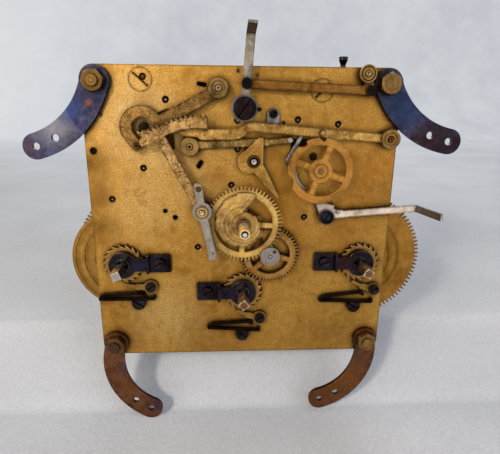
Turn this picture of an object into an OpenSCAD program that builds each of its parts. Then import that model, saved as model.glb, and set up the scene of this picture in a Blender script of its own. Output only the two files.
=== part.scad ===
// Granddaughter clock movement: three spring barrels between two brass plates drive the going,
// striking and chiming trains. Origin on the centre arbor at the front plate's outer face,
// +Z up, +X to the viewer's right, and the front with the hands' pipe looks along -Y.
// Flat pieces are drawn as x-z outlines and stood up between two depths y.

/* [Plates] */
// Width of both plates
plate_w = 140; // [138:0.5:150]
// Height of both plates
plate_h = 139; // [138:0.5:150]
// Thickness of each plate
plate_t = 2; // [1.6:0.1:2.6]
// Radius of the plates' corners
plate_corner_r = 6; // [3:0.5:8]
// Clear space between the plates
plate_gap = 38; // [38:0.5:44]
// Distance of each pillar from the plates' edges
pillar_inset = 6.7; // [6.2:0.1:7.5]
// Radius of the pillars' bodies
pillar_r = 4; // [3.2:0.1:4.5]
// Radius of the pillars' threaded ends
pillar_end_r = 2.5; // [2:0.1:3]
// Width of the pillar nuts across their flats
nut_flats = 8.6; // [8:0.1:9.4]
// Height of the pillar nuts
nut_t = 3.6; // [2.5:0.1:4.5]

/* [Case lugs] */
// Thickness of the four case lugs
lug_t = 2; // [1.5:0.1:2]
// Width of the upper lugs beside the nut and at the tip
upper_lug_w = [12, 11.5]; // [10:0.1:12.5]
// Width of the lower lugs beside the nut and at the tip
lower_lug_w = [10.2, 11.6]; // [9.6:0.1:12]
// Radius of the upper lugs' bend
upper_lug_bend_r = 40; // [34:1:46]
// Radius of the lower lugs' bend
lower_lug_bend_r = 31.2; // [27:0.6:36]
// Angle that the upper lugs bend through
upper_lug_turn = 58; // [50:1:64]
// Angle that the lower lugs bend through
lower_lug_turn = 84; // [74:1:90]
// Swing of the left and right upper lugs on their pillars, outwards
upper_lug_swing = [0, 6]; // [-6:0.5:8]
// Swing of the left and right lower lugs on their pillars, inwards
lower_lug_swing = [0, 10]; // [-6:0.5:12]
// Radius of the screw holes in the lugs
lug_hole_r = 1.65; // [1.3:0.05:2]
// Distance between the two screw holes of one lug
lug_hole_pitch = 9.3; // [8:0.1:11]

/* [Barrels] */
// Height of the outer barrels' arbors above the centre arbor, below zero
side_barrel_z = -20.3; // [-20.8:0.1:-20]
// Height of the middle barrel's arbor above the centre arbor, below zero
middle_barrel_z = -35.3; // [-35.8:0.1:-35]
// Distance of the outer barrels' arbors from the centre line
side_barrel_x = 57; // [56.8:0.1:58]
// Outer radius of the barrel drums
drum_r = 25.9; // [24:0.1:26.2]
// Length of the barrel drums without the great wheel
drum_len = 22; // [18:0.5:22.5]
// Wall of the drums and thickness of their caps
drum_wall = 1.2; // [0.9:0.1:1.6]
// Thickness of the great wheels
great_t = 1.5; // [1.2:0.1:1.8]
// Teeth on the great wheels of the going and striking trains
great_teeth = 84; // [78:1:90]
// Teeth on the great wheel of the chiming train
chime_great_teeth = 96; // [90:1:100]
// Radius of the winding arbors in the plates
winding_r = 3; // [2.8:0.1:3.3]
// Width of the winding squares across their flats
square_w = 3.9; // [3.5:0.1:4.2]
// Height of the winding squares' ends in front of the front plate
square_top = 17; // [14:0.5:20]
// Thickness of the mainspring strip
mainspring_t = 0.45; // [0.35:0.05:0.5]
// Coils drawn in each mainspring
mainspring_coils = 8; // [6:1:9]

/* [Ratchets] */
// Tip radius of the ratchet wheels
ratchet_r = 9.8; // [9.2:0.1:9.9]
// Teeth on each ratchet wheel
ratchet_teeth = 18; // [16:1:20]
// Depth of the ratchet teeth
ratchet_tooth_h = 1.8; // [1.2:0.1:2]
// Thickness of the ratchet wheels and clicks
ratchet_t = 1.2; // [1:0.1:1.2]
// Outer radius of the ratchet bridges' eyes
bridge_eye_r = 6.4; // [5.8:0.1:6.8]
// Thickness of the ratchet bridges
bridge_t = 1.3; // [1:0.1:1.5]
// Thickness of the click springs' wire
click_wire = 1.3; // [1:0.1:1.4]

/* [Trains] */
// Radius of the slow wheels' arbors
slow_arbor_r = 1.6; // [1.3:0.1:1.8]
// Radius of the quick wheels' arbors
quick_arbor_r = 1; // [0.8:0.05:1.05]
// Radius of the arbors' pivots in the plates
pivot_r = 0.8; // [0.6:0.05:0.8]
// Thickness of the train wheels
wheel_t = 1.2; // [1:0.1:1.3]
// Part of a wheel's pitch that its tooth fills
tooth_share = 0.46; // [0.42:0.01:0.47]
// Part of a pinion's pitch that its leaf fills
leaf_share = 0.36; // [0.3:0.01:0.37]
// Depth of the teeth below the pitch circle, in modules
root_depth = 1.7; // [1.5:0.05:1.8]
// Tip radius of the escape wheel
escape_r = 9; // [8.5:0.1:9.2]
// Teeth on the escape wheel
escape_teeth = 30; // [28:2:32]

/* [Motion work] */
// Distance of the minute wheel's post from the centre arbor
minute_distance = 20.2; // [20:0.1:20.6]
// Direction of the minute wheel's post, from the right and upwards
minute_bearing = -51.1; // [-54:0.5:-48]
// Outer radius of the hour pipe
hour_pipe_r = 2.25; // [2.15:0.05:2.4]
// Height of the hour pipe's end in front of the front plate
hour_pipe_top = 20.4; // [18:0.2:21]
// Largest radius of the hour snail
snail_r = 15.2; // [14:0.1:15.4]
// Drop of the hour snail at each hour
snail_step = 0.82; // [0.7:0.02:0.85]

/* [Levers] */
// Thickness of the levers on the front plate
lever_t = 1.2; // [1:0.1:1.2]
// Radius of the posts that the levers turn on
post_r = 1.6; // [1.4:0.1:1.6]
// Radius of the rack's tooth tips about its pivot
rack_tip_r = 43; // [42:0.1:43.1]
// Teeth on the rack
rack_teeth = 14; // [12:1:14]
// Angle between the rack's teeth
rack_pitch = 2.9; // [2.7:0.05:3]
// Depth of the rack's teeth
rack_tooth_h = 1.7; // [1.4:0.1:1.9]
// Width of the rack's arm
rack_arm_w = 4.6; // [4:0.2:5.2]
// Width of the strike silencing lever
silence_lever_w = 3.9; // [3.4:0.1:4.3]
// Width of the link bar
link_w = 3.8; // [3.2:0.1:4.2]
// Width of the chime silencing lever's arm
chime_lever_w = 3.3; // [2.8:0.1:3.8]
// Highest radius of the chime count wheel
count_r = 15; // [14.4:0.1:15.2]
// Depth of the count wheel's four notches
count_notch = 1.8; // [1.2:0.1:2.2]

/* [Hammers] */
// Spacing of the hammers along their arbor
hammer_pitch = 5.6; // [5.4:0.1:6.2]
// Length of the hammers from arbor to head
hammer_len = 60; // [52:1:66]
// Radius of the hammer heads
hammer_head_r = 2.4; // [2:0.1:2.5]
// Radius of the pinned chime drum
chime_drum_r = 8; // [7:0.2:8.4]

/* [Fits] */
// Radial clearance of turning parts on their pivots and posts
run_clearance = 0.05; // [0.03:0.01:0.08]
// Gap between parts that pass each other
pass_gap = 0.3; // [0.2:0.05:0.4]
// Radial clearance of parts that are screwed or pressed together
seat_clearance = 0.02; // [0.01:0.01:0.04]

/* [Hidden] */
$fn = 64;
hammers = 4;

// Places on the plates, as [x, z] from the centre arbor
corner = [plate_w / 2, plate_h / 2];
strike_barrel_at = [-side_barrel_x, side_barrel_z];
going_barrel_at = [0, middle_barrel_z];
chime_barrel_at = [side_barrel_x, side_barrel_z];
strike_second_at = [-60.1, 10.9];
strike_third_at = [-45.1, 25.3];
gathering_at = [-43.6, 44];
strike_warning_at = [-34, 55.2];
strike_fly_at = [-43.3, 64.6];
going_second_at = [-21.5, -12.5];
centre_at = [0, 0];
going_third_at = [-5.5, 17.5];
escape_at = [-2.6, 34];
pallet_at = escape_at + [0, escape_r * sqrt(2)];
chime_second_at = [29, 2.1];
count_at = [34.6, 25];
locking_at = [42.5, 45.2];
chime_warning_at = [24.2, 47];
chime_fly_at = [35.5, 60.9];
minute_at = polar(minute_distance, minute_bearing);
rack_at = [-18.8, 6.6];
hook_at = [-11, 60.2];
lifting_at = corner - [4.4, 30.3];
warning_lever_at = [-23.9, 35.3];
silence_at = [0.15, 52];
crank_at = corner - [16.6, 2.7];
chime_silence_at = [38.9, 3.2];
release_at = [4.5, 28.9];
hammer_at = [54, 24];
pillar_x = plate_w / 2 - pillar_inset;
pillar_z = plate_h / 2 - pillar_inset;
pillar_places = [for (i = [-1, 1], j = [-1, 1]) [i * pillar_x, j * pillar_z]];

// Depths y of what stands between the plates
inner_front = plate_t;
inner_back = plate_t + plate_gap;
back_face = inner_back + plate_t;
drum_front = 5.5;
drum_back = drum_front + drum_len;
great_back = drum_back + great_t;
chime_great_front = 5.6;
chime_drum_front = chime_great_front + great_t;
chime_2_y = chime_drum_front + drum_len + 1.7;
drum_in_r = drum_r - drum_wall;
arbor_core_r = winding_r + 1.5;

// Teeth of the trains, wheel then pinion of the next arbor
second_leaves = 10;
chime_second_leaves = 14;
strike_second_teeth = 54;
strike_third_leaves = 12;
strike_third_teeth = 50;
gathering_leaves = 12;
gathering_teeth = 56;
quick_leaves = 8;
strike_warning_teeth = 48;
going_second_teeth = 64;
centre_leaves = 16;
centre_teeth = 72;
going_third_teeth = 72;
chime_second_teeth = 70;
count_leaves = 20;
count_arbor_teeth = 72;
locking_teeth = 56;
chime_warning_leaves = 14;
chime_warning_teeth = 56;
cannon_teeth = 24;
minute_teeth = 48;
minute_leaves = 10;
hour_teeth = 60;

// Heights in front of the plate, one level of levers above the other
low_h = 0.6;
mid_h = 2.6;
silence_h = 4;
rack_h = 5;
count_h = 4.1;
cannon_h = 1.6;
hour_h = 3.5;
ratchet_h = 0.3;
bridge_h = 2.4;
release_h = 2.1;

// Point at radius r in direction a
function polar(r, a) = [r * cos(a), r * sin(a)];
// Direction from a to b
function bearing(a, b) = atan2(b.y - a.y, b.x - a.x);
// Pitch radius of a wheel at a with na teeth that meshes with nb teeth at b
function pitch_r(a, b, na, nb) = norm(b - a) * na / (na + nb);
// Phase of the teeth at b that mesh with the teeth at a
function mesh_phase(a, b, phase, na, nb) =
  bearing(a, b) + 180 + 180 / nb + (bearing(a, b) - phase) * na / nb;
// Point of the epicycloid that a circle of radius q rolls on a circle of radius r
function roll(r, q, t) = [(r + q) * cos(t) - q * cos((r + q) / q * t),
  (r + q) * sin(t) - q * sin((r + q) / q * t)];
// Rolling angle at which the epicycloid has turned through angle a
function roll_to(r, q, a, lo, hi, n) = n == 0 ? lo :
  let (mid = (lo + hi) / 2, p = roll(r, q, mid))
  atan2(p.y, p.x) < a ? roll_to(r, q, a, mid, hi, n - 1) : roll_to(r, q, a, lo, mid, n - 1);
// Cycloidal wheel teeth: radial flanks below the pitch circle and epicycloids above it
function wheel_points(n, r, mate_r, phase) =
  let (half = 180 / n * tooth_share, q = mate_r / 2,
    t = roll_to(r, q, half, 0, 180 * q / r, 16) * 0.9,
    p1 = roll(r, q, t * 0.6), p2 = roll(r, q, t),
    root = r - root_depth * 2 * r / n,
    a1 = half - atan2(p1.y, p1.x), a2 = half - atan2(p2.y, p2.x))
  [for (i = [0:n - 1], s = [[root, -half], [r, -half], [norm(p1), -a1], [norm(p2), -a2],
    [norm(p2), a2], [norm(p1), a1], [r, half], [root, half]])
    polar(s[0], phase + 360 * i / n + s[1])];
// Pinion leaves with radial flanks and blunt tips
function pinion_points(n, r, phase) =
  let (half = 180 / n * leaf_share, tip = r + 0.75 * r * half * PI / 180,
    root = r - (root_depth + 0.1) * 2 * r / n)
  [for (i = [0:n - 1], s = [[root, -half], [r, -half], [tip, -0.62 * half],
    [tip, 0.62 * half], [r, half], [root, half]])
    polar(s[0], phase + 360 * i / n + s[1])];

// Phases of the trains, each from the one before
strike_2_phase = mesh_phase(strike_barrel_at, strike_second_at, 0, great_teeth, second_leaves);
strike_3_phase = mesh_phase(strike_second_at, strike_third_at, strike_2_phase,
  strike_second_teeth, strike_third_leaves);
gathering_phase = mesh_phase(strike_third_at, gathering_at, strike_3_phase,
  strike_third_teeth, gathering_leaves);
strike_warning_phase = mesh_phase(gathering_at, strike_warning_at, gathering_phase,
  gathering_teeth, quick_leaves);
strike_fly_phase = mesh_phase(strike_warning_at, strike_fly_at, strike_warning_phase,
  strike_warning_teeth, quick_leaves);
going_2_phase = mesh_phase(going_barrel_at, going_second_at, 0, great_teeth, second_leaves);
centre_phase = mesh_phase(going_second_at, centre_at, going_2_phase, going_second_teeth,
  centre_leaves);
going_3_phase = mesh_phase(centre_at, going_third_at, centre_phase, centre_teeth,
  quick_leaves);
escape_phase = mesh_phase(going_third_at, escape_at, going_3_phase, going_third_teeth,
  quick_leaves);
chime_2_phase = mesh_phase(chime_barrel_at, chime_second_at, 0, chime_great_teeth,
  chime_second_leaves);
count_phase = mesh_phase(chime_second_at, count_at, chime_2_phase, chime_second_teeth,
  count_leaves);
locking_phase = mesh_phase(count_at, locking_at, count_phase, count_arbor_teeth,
  quick_leaves);
chime_warning_phase = mesh_phase(locking_at, chime_warning_at, locking_phase, locking_teeth,
  chime_warning_leaves);
chime_fly_phase = mesh_phase(chime_warning_at, chime_fly_at, chime_warning_phase,
  chime_warning_teeth, quick_leaves);
minute_phase = mesh_phase(centre_at, minute_at, 0, cannon_teeth, minute_teeth);
hour_phase = mesh_phase(minute_at, centre_at, minute_phase, minute_leaves, hour_teeth);

// Stands an x-z outline up between depths y0 and y1
module layer(y0, y1) {
  rotate([90, 0, 0])
    translate([0, 0, -y1])
      linear_extrude(height = y1 - y0)
        children();
}

// Stands an x-z outline up in front of the plate, from height h for thickness t
module front(h, t) {
  layer(-h - t, -h) children();
}

// Moves an outline to a place on the plate
module at(p) {
  translate([p.x, p.y]) children();
}

// Round bar along y
module rod(p, y0, y1, r) {
  translate([p.x, y1, p.y])
    rotate([90, 0, 0])
      cylinder(h = y1 - y0, r = r);
}

// Cone along y, radius r0 at y0 and r1 at y1
module cone(p, y0, y1, r0, r1) {
  translate([p.x, y1, p.y])
    rotate([90, 0, 0])
      cylinder(h = y1 - y0, r1 = r1, r2 = r0);
}

// Straight strip from a to b with round ends
module strip(a, b, w) {
  waist = w - 0.04;
  at(a) circle(r = w / 2);
  at(b) circle(r = w / 2);
  at(a)
    rotate(bearing(a, b))
      translate([0, -waist / 2])
        square([norm(b - a), waist]);
}

// Part of a ring between two directions, less than half a turn apart
module arc(r0, r1, a0, a1) {
  intersection() {
    difference() {
      circle(r = r1);
      circle(r = r0);
    }
    polygon([[0, 0], polar(3 * r1, a0), polar(3 * r1, (a0 + a1) / 2), polar(3 * r1, a1)]);
  }
}

// Wheel with a rim, spokes and a hub, its bore left to the caller
module wheel(n, r, mate_r, phase, rim_r, hub_r, spokes, spoke_w, spoke_a) {
  difference() {
    polygon(wheel_points(n, r, mate_r, phase));
    windows(rim_r, hub_r, spokes, spoke_w, spoke_a);
  }
}

// Openings between spokes
module windows(rim_r, hub_r, spokes, spoke_w, spoke_a) {
  difference() {
    circle(r = rim_r);
    circle(r = hub_r);
    for (i = [0:spokes - 1])
      rotate(spoke_a + 360 * i / spokes)
        translate([0, -spoke_w / 2])
          square([rim_r + 1, spoke_w]);
  }
}

// Arbor between the plates with a pivot at each end
module arbor(p, r) {
  rod(p, 0.3, inner_front + 0.4, pivot_r);
  rod(p, inner_front + 0.4, inner_back - 0.4, r);
  rod(p, inner_back - 0.4, back_face - 0.2, pivot_r);
}

// Wheel of n teeth on its arbor at p, driving the leaves of the arbor at q
module train_wheel(p, q, n, leaves, phase, y, spokes) {
  r = pitch_r(p, q, n, leaves);
  layer(y, y + wheel_t)
    at(p)
      wheel(n, r, pitch_r(q, p, leaves, n), phase, r - root_depth * 2 * r / n - 1.6,
        3.4, spokes, 1.6, phase);
  rod(p, y - 1, y, 2.6);
}

// Pinion at p between depths y0 and y1, driven by the n teeth of the wheel at q
module pinion(p, q, leaves, n, phase, y0, y1) {
  layer(y0, y1)
    at(p)
      polygon(pinion_points(leaves, pitch_r(p, q, leaves, n), phase));
}

// Screw head with a slot, its top at height h
module slotted_head(p, h0, h, r, a) {
  difference() {
    rod(p, -h, -h0, r);
    translate([p.x, -h, p.y])
      rotate([0, -a, 0])
        cube([2.2 * r, 1, 0.18 * r + 0.2], center = true);
  }
}

// Round corners of a plate as four discs and two bars
module plate_outline() {
  cx = plate_w / 2 - plate_corner_r;
  cz = plate_h / 2 - plate_corner_r;
  square([plate_w, 2 * cz], center = true);
  square([2 * cx, plate_h], center = true);
  for (i = [-1, 1], j = [-1, 1])
    translate([i * cx, j * cz])
      circle(r = plate_corner_r);
}

bush_r = 4.9;
bush_strike_at = strike_fly_at + [-1, -1.1];
bush_chime_at = chime_fly_at + [-1, -1.2];
front_pivots = [strike_second_at, strike_third_at, strike_warning_at, going_second_at,
  going_third_at, escape_at, pallet_at, chime_second_at, locking_at, chime_warning_at];
back_pivots = [strike_second_at, strike_third_at, gathering_at, strike_warning_at,
  strike_fly_at, going_second_at, centre_at, going_third_at, escape_at,
  count_at, locking_at, chime_warning_at, chime_fly_at];
posts = [[hook_at, mid_h, lever_t], [lifting_at, mid_h, lever_t],
  [warning_lever_at, low_h, lever_t], [rack_at, rack_h, 2 * lever_t],
  [crank_at, 1, lever_t], [release_at, release_h, lever_t]];
post_foot_r = 1.5;
barrel_places = [strike_barrel_at, going_barrel_at, chime_barrel_at];
pallet_hole_r = 3;
hammer_arbor_r = 1.6;
bracket_stud_r = 1.4;
bracket_t = 1.6;
bracket_feet = [[14, -10], [64, 38]];
first_hammer_y = back_face + 4.6;
bracket_y = first_hammer_y + hammers * hammer_pitch;
drum_pivot_r = 2;

module front_plate() {
  color("goldenrod")
    difference() {
      layer(0, plate_t)
        difference() {
          plate_outline();
          for (p = pillar_places)
            at(p) circle(r = pillar_end_r + run_clearance);
          for (p = barrel_places)
            at(p) circle(r = winding_r + run_clearance);
          for (p = front_pivots)
            at(p) circle(r = pivot_r + run_clearance);
          for (p = [gathering_at, count_at, centre_at])
            at(p) circle(r = slow_arbor_r + run_clearance);
          for (p = posts)
            at(p[0]) circle(r = post_foot_r);
          for (p = [minute_at, silence_at, chime_silence_at])
            at(p) circle(r = post_foot_r);
          for (k = works, p = [[k[1] * bridge_pad_x, 0], k[2], k[2] + k[6]])
            at(k[0] + p) circle(r = post_foot_r);
          at(tab_at) circle(r = 1.2);
          for (p = [bush_strike_at, bush_chime_at])
            at(p) circle(r = bush_r + seat_clearance);
          for (h = [[-36.2, 5.4, 1], [-31.7, 2.3, 1.2],
            [-62, 48.8, 0.7], [-2.5, 67.3, 0.7], [17.8, 45.8, 0.7],
            [31.8, 30.8, 1.8], [5.8, 65.6, 0.7]])
            translate([h[0], h[1]]) circle(r = h[2]);
          strip([-19.4, 61.9], [-17, 61.5], 2);
          strip([-20.3, 26.2], [-19.2, 28], 2.2);
          window_left();
          window_right();
          strip([-36.3, 49.2], [-33.3, 50.4], 2);
        }
      for (p = front_pivots)
        cone(p, -0.01, 0.5, 1.7, pivot_r + run_clearance);
      rod([-plate_w / 2 + 3.4, 33], -1, 1, 1.6);
    }
}

// Slot in which a strike detent moves behind the rack
module window_left() {
  polygon([[-35.5, 40.5], [-31.2, 41.5], [-30.6, 34.2], [-31.6, 33.6]]);
}

// Opening for the chime detent beside the count wheel
module window_right() {
  polygon([[21.6, 38.8], [36.5, 38.8], [36.5, 36], [27, 35.5], [24.4, 31.6], [21.2, 33]]);
}

module back_plate() {
  color("goldenrod")
    difference() {
      layer(inner_back, back_face)
        difference() {
          plate_outline();
          for (p = pillar_places)
            at(p) circle(r = pillar_end_r + run_clearance);
          for (p = barrel_places)
            at(p) circle(r = drum_pivot_r + run_clearance);
          for (p = back_pivots)
            at(p) circle(r = pivot_r + run_clearance);
          at(pallet_at) circle(r = pallet_hole_r);
          at(chime_second_at) circle(r = slow_arbor_r + run_clearance);
          for (p = concat(bracket_feet, [hammer_at]))
            at(p) circle(r = bracket_stud_r);
          at([-30, -52]) circle(r = 2);
          at([30, -56]) circle(r = 2);
        }
      for (p = back_pivots)
        cone(p, back_face - 0.5, back_face + 0.01, pivot_r + run_clearance, 1.7);
    }
}

module pillars() {
  color("peru")
    for (p = pillar_places) {
      rod(p, inner_front, inner_back, pillar_r);
      rod(p, inner_front + 3, inner_front + 6, pillar_r + 0.6);
      rod(p, inner_back - 6, inner_back - 3, pillar_r + 0.6);
      rod(p, -lug_t - nut_t + (bolted(p) ? 1.3 : -0.8), inner_front, pillar_end_r);
      rod(p, inner_back, back_face + nut_t + 0.8, pillar_end_r);
    }
  color("peru") {
    for (f = bracket_feet) {
      rod(f, back_face, bracket_y, 2.8);
      rod(f, bracket_y, bracket_y + bracket_t + 0.6, bracket_stud_r);
      rod(f, inner_back, back_face, bracket_stud_r);
    }
    rod(hammer_at, back_face, bracket_y, hammer_arbor_r);
    rod(hammer_at, bracket_y, bracket_y + bracket_t + 0.6, bracket_stud_r);
    rod(hammer_at, inner_back, back_face, bracket_stud_r);
  }
}

module pillar_nuts() {
  color("darkgoldenrod")
    for (p = pillar_places, y = [-lug_t - nut_t, back_face])
      difference() {
        intersection() {
          layer(y, y + nut_t)
            at(p)
              rotate(20 + 3 * p.x)
                circle(r = nut_flats / sqrt(3), $fn = 6);
          cone(p, y, y + nut_t, nut_flats / 2 + (y < 0 ? 0 : 2),
            nut_flats / 2 + (y < 0 ? 2 : 0));
        }
        rod(p, y + (bolted(p) && y < 0 ? 1.2 : -1), y + nut_t + 1,
          pillar_end_r + seat_clearance);
      }
}

// The upper right corner has a bolt, the others have nuts
function bolted(p) = p.x > 0 && p.y > 0;

// Curved case lug that starts at the pillar p in direction a, turns through angle t about a
// bend of radius r and has the two widths w
module lug(p, eye_r, w, r, a, t) {
  side = t < 0 ? -1 : 1;
  c = p + polar(r, a + 90 * side);
  a0 = a - 90 * side;
  steps = 24;
  band = [for (i = [0:steps]) [a0 + t * i / steps, w[0] + (w[1] - w[0]) * i / steps]];
  difference() {
    union() {
      at(c)
        polygon(concat([for (b = band) polar(r - b[1] / 2, b[0])],
          [for (i = [steps:-1:0]) polar(r + band[i][1] / 2, band[i][0])]));
      at(p) circle(r = eye_r);
      at(c + polar(r, a0 + t)) circle(r = w[1] / 2);
    }
    at(p) circle(r = pillar_end_r + seat_clearance);
    for (s = [0, lug_hole_pitch / r * 180 / PI])
      at(c + polar(r, a0 + t - side * s)) circle(r = lug_hole_r);
  }
}

module upper_lugs() {
  color("midnightblue")
    for (m = [0, 1])
      mirror([m, 0, 0])
        front(0, lug_t)
          lug([-pillar_x, pillar_z], 6.3, upper_lug_w, upper_lug_bend_r,
            upper_lug_turn / 2 - 134.4 - upper_lug_swing[m], -upper_lug_turn);
}

module lower_lugs() {
  color("saddlebrown")
    for (m = [0, 1])
      mirror([m, 0, 0])
        front(0, lug_t)
          lug([-pillar_x, -pillar_z], 5.9, lower_lug_w, lower_lug_bend_r,
            lower_lug_swing[m] - 68.4 - lower_lug_turn / 2, lower_lug_turn);
}

// Ratchet works, each: arbor, side of the bridge's pad, then from the arbor the click's
// pivot, and from that pivot the ends of the spring's lower leg, its upper end and its screw
works = [
  [strike_barrel_at, 1, [12.3, -12], [-24.8, -6.4], [1.4, -6.4], [-4.8, -3.3], [-6.3, -8.8]],
  [going_barrel_at, -1, [8.5, -14.4], [-25.6, -5.4], [-0.4, -7.2], [-5.4, -2.2], [-8.7, -9.3]],
  [chime_barrel_at, -1, [8.3, -14.6], [-26.6, -5.9], [-0.6, -6.9], [-6.4, -1.7], [-9.4, -9.2]]
];
bridge_pad_x = 17.2;
bridge_pad_w = 10;
bridge_pad_h = 8.8;
click_pivot_r = 1.6;
click_tip_gap = 0.2;
bridge_screw_r = 2.6;
click_screw_r = 2.5;
spring_screw_r = 3.2;

module ratchet_bridges() {
  color("darkslategray")
    for (k = works)
      let (p = k[0], s = k[1]) {
        difference() {
          union() {
            front(bridge_h, bridge_t)
              union() {
                at(p) circle(r = bridge_eye_r);
                at(p + [s > 0 ? 0 : -12.2, -3]) square([12.2, 6]);
              }
            front(0, bridge_h + bridge_t)
              at(p + [s > 0 ? 11 : -12.3, -bridge_pad_h / 2])
                square([1.3, bridge_pad_h]);
            front(0, bridge_t)
              at(p + [s > 0 ? 12.2 : -12.2 - bridge_pad_w, -bridge_pad_h / 2])
                square([bridge_pad_w, bridge_pad_h]);
          }
          rod(p, -bridge_h - bridge_t - 1, 0, winding_r + pass_gap);
          rod(p + [s * bridge_pad_x, 0], -bridge_t - 1, 0.01, post_foot_r);
        }
      }
}

// Hairpin of square wire beside each click
module click_springs() {
  color("black")
    for (k = works)
      let (c = k[0] + k[2])
        front(ratchet_h, click_wire) {
          strip(c + k[3], c + k[4], click_wire);
          strip(c + k[4], c + k[4] + [0.2, 1.1], click_wire);
          strip(c + k[3], c + k[3] + [0.1, 0.9], click_wire);
          strip(c + k[3] + [0.1, 0.9], c + k[3] + [2.2, 2.2], click_wire);
          strip(c + k[3] + [2.2, 2.2], c + k[5], click_wire);
          strip(c + k[5], c + k[5] + [1.3, -1.1], click_wire);
        }
}

// Spring screw whose head is cut flat where the spring's lower leg lies on it
module spring_screw(k) {
  c = k[0] + k[2];
  difference() {
    slotted_head(c + k[6], 0, ratchet_h + click_wire + 0.2, spring_screw_r, -35);
    front(-1, 5)
      at(c + k[3])
        rotate(bearing(k[3], k[4]))
          translate([0, -click_wire / 2 - seat_clearance]) square([30, 9]);
  }
  rod(c + k[6], 0, plate_t, post_foot_r);
}

module front_screws() {
  color("darkslateblue") {
    for (k = works) {
      slotted_head(k[0] + [k[1] * bridge_pad_x, 0], bridge_t, bridge_t + 1.3,
        bridge_screw_r, 20);
      rod(k[0] + [k[1] * bridge_pad_x, 0], -bridge_t, plate_t, post_foot_r);
      slotted_head(k[0] + k[2], ratchet_h + ratchet_t + 0.1,
        ratchet_h + ratchet_t + 1.3, click_screw_r, 35);
      rod(k[0] + k[2], -ratchet_h - ratchet_t - 0.1, 0, click_pivot_r);
      rod(k[0] + k[2], 0, plate_t, post_foot_r);
      spring_screw(k);
    }
    slotted_head(silence_at, silence_h + lever_t + 0.1, silence_h + lever_t + 1.8, 4.9, 55);
    rod(silence_at, -silence_h - lever_t - 0.1, -silence_h + 0.1, 2.5);
    rod(silence_at, -silence_h + 0.1, 0, 3.5);
    rod(silence_at, 0, plate_t, post_foot_r);
    chime_silence_screw();
    slotted_head(tab_at, 1, 2, 1.9, 40);
    rod(tab_at, -1, plate_t, 1.2);
    top_screw();
  }
}

top_screw_at = [45.4, 10];

// Upright adjusting screw in a small block behind the front plate's top edge
module top_screw() {
  top = plate_h / 2 + 5;
  translate([top_screw_at.x - 3, plate_t, top - 14])
    cube([6, top_screw_at.y + 2 - plate_t, 6]);
  difference() {
    translate([top_screw_at.x, top_screw_at.y, 0])
      union() {
        translate([0, 0, top - 16]) cylinder(h = 12.6, r = 1.2);
        translate([0, 0, top - 3.5]) cylinder(h = 2, r1 = 1.2, r2 = 2);
        translate([0, 0, top - 1.5]) cylinder(h = 1.5, r = 2);
      }
    translate([top_screw_at.x, top_screw_at.y, top])
      rotate([0, 0, 25]) cube([5, 0.6, 1.8], center = true);
  }
}

// Shoulder screw in its raised cup at the chime silencing lever
module chime_silence_screw() {
  h = 1 + lever_t;
  difference() {
    rod(chime_silence_at, -h - 2.4, -h - 0.1, 3.4);
    rod(chime_silence_at, -h - 3, -h - 1, 2.6);
  }
  slotted_head(chime_silence_at, h + 0.9, h + 1.9, 2.1, 55);
  rod(chime_silence_at, -h - 0.2, -0.9, post_r);
  rod(chime_silence_at, -0.9, 0, 2.6);
  rod(chime_silence_at, 0, plate_t, post_foot_r);
}

// Eccentric bushes that set how deep each fly pinion meshes
module pivot_bushes() {
  color("darkgoldenrod")
    for (b = [[bush_strike_at, strike_fly_at, -42], [bush_chime_at, chime_fly_at, 48]])
      difference() {
        rod(b[0], 0, plate_t, bush_r);
        rod(b[1], -1, plate_t + 1, pivot_r + run_clearance);
        cone(b[1], -0.01, 0.5, 1.4, pivot_r + run_clearance);
        translate([b[0].x, 0, b[0].y])
          rotate([0, -b[2], 0])
            cube([2 * bush_r - 1.2, 1.4, 0.7], center = true);
      }
}

module lever_posts() {
  color("darkgoldenrod") {
    for (p = posts) {
      top = p[1] + p[2];
      rod(p[0], 0, plate_t, post_foot_r);
      rod(p[0], -top - 0.9, 0, post_r);
      rod(p[0], -top - 0.9, -top - 0.05, post_r + 0.5);
      difference() {
        rod(p[0], -top - 1.7, -top - 0.8, post_r - 0.4);
        cone(p[0], -top - 1.71, -top - 1.3, 0.7, 0.1);
      }
    }
    for (p = [hook_at, lifting_at])
      rod(p, -mid_h + 0.05, 0, 3.4);
    rod(rack_at, -2.9, 0, 3.4);
    rod(rack_at, -rack_h - 2 * lever_t - 0.9, -rack_h - 2 * lever_t - 0.05, 2.9);
    for (p = [[hook_at, mid_h], [lifting_at, mid_h]])
      difference() {
        rod(p[0], -p[1] - lever_t - 1.2, -p[1] - lever_t - 0.05, 4.2);
        rod(p[0], -p[1] - lever_t - 2, -p[1] - lever_t - 0.7, 3);
      }
    rod(crank_at, -1 - lever_t - 1.3, -1 - lever_t - 0.05, 3.8);
    rod(warning_lever_at, -low_h - lever_t - 1.1, -low_h - lever_t - 0.05, 3.9);
    rod(minute_at, 0, plate_t, post_foot_r);
    rod(minute_at, -hour_h - lever_t - 0.3, 0, post_foot_r);
    rod(minute_at, -hour_h - lever_t - 0.9, -hour_h - lever_t - 0.25, 4.6);
  }
}

tab_at = [13, 49.7];

// Nickel silver tab beside the lifting lever and the count wheel's curved spring
module spring_tabs() {
  color("silver") {
    difference() {
      front(0, 1)
        union() {
          at([10.2, 45.2]) square([5.6, 3.8]);
          at(tab_at - [0, 0.7]) circle(r = 2.8);
        }
      rod(tab_at, -2, 1, 1.25);
    }
    front(0, 1)
      union() {
        strip([25.6, 39.4], [20, 29.2], 1.6);
        strip([20, 29.2], count_at + polar(10.9, 188), 1.6);
        at(count_at) arc(10.2, 11.6, 187, 238);
      }
  }
}

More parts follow.
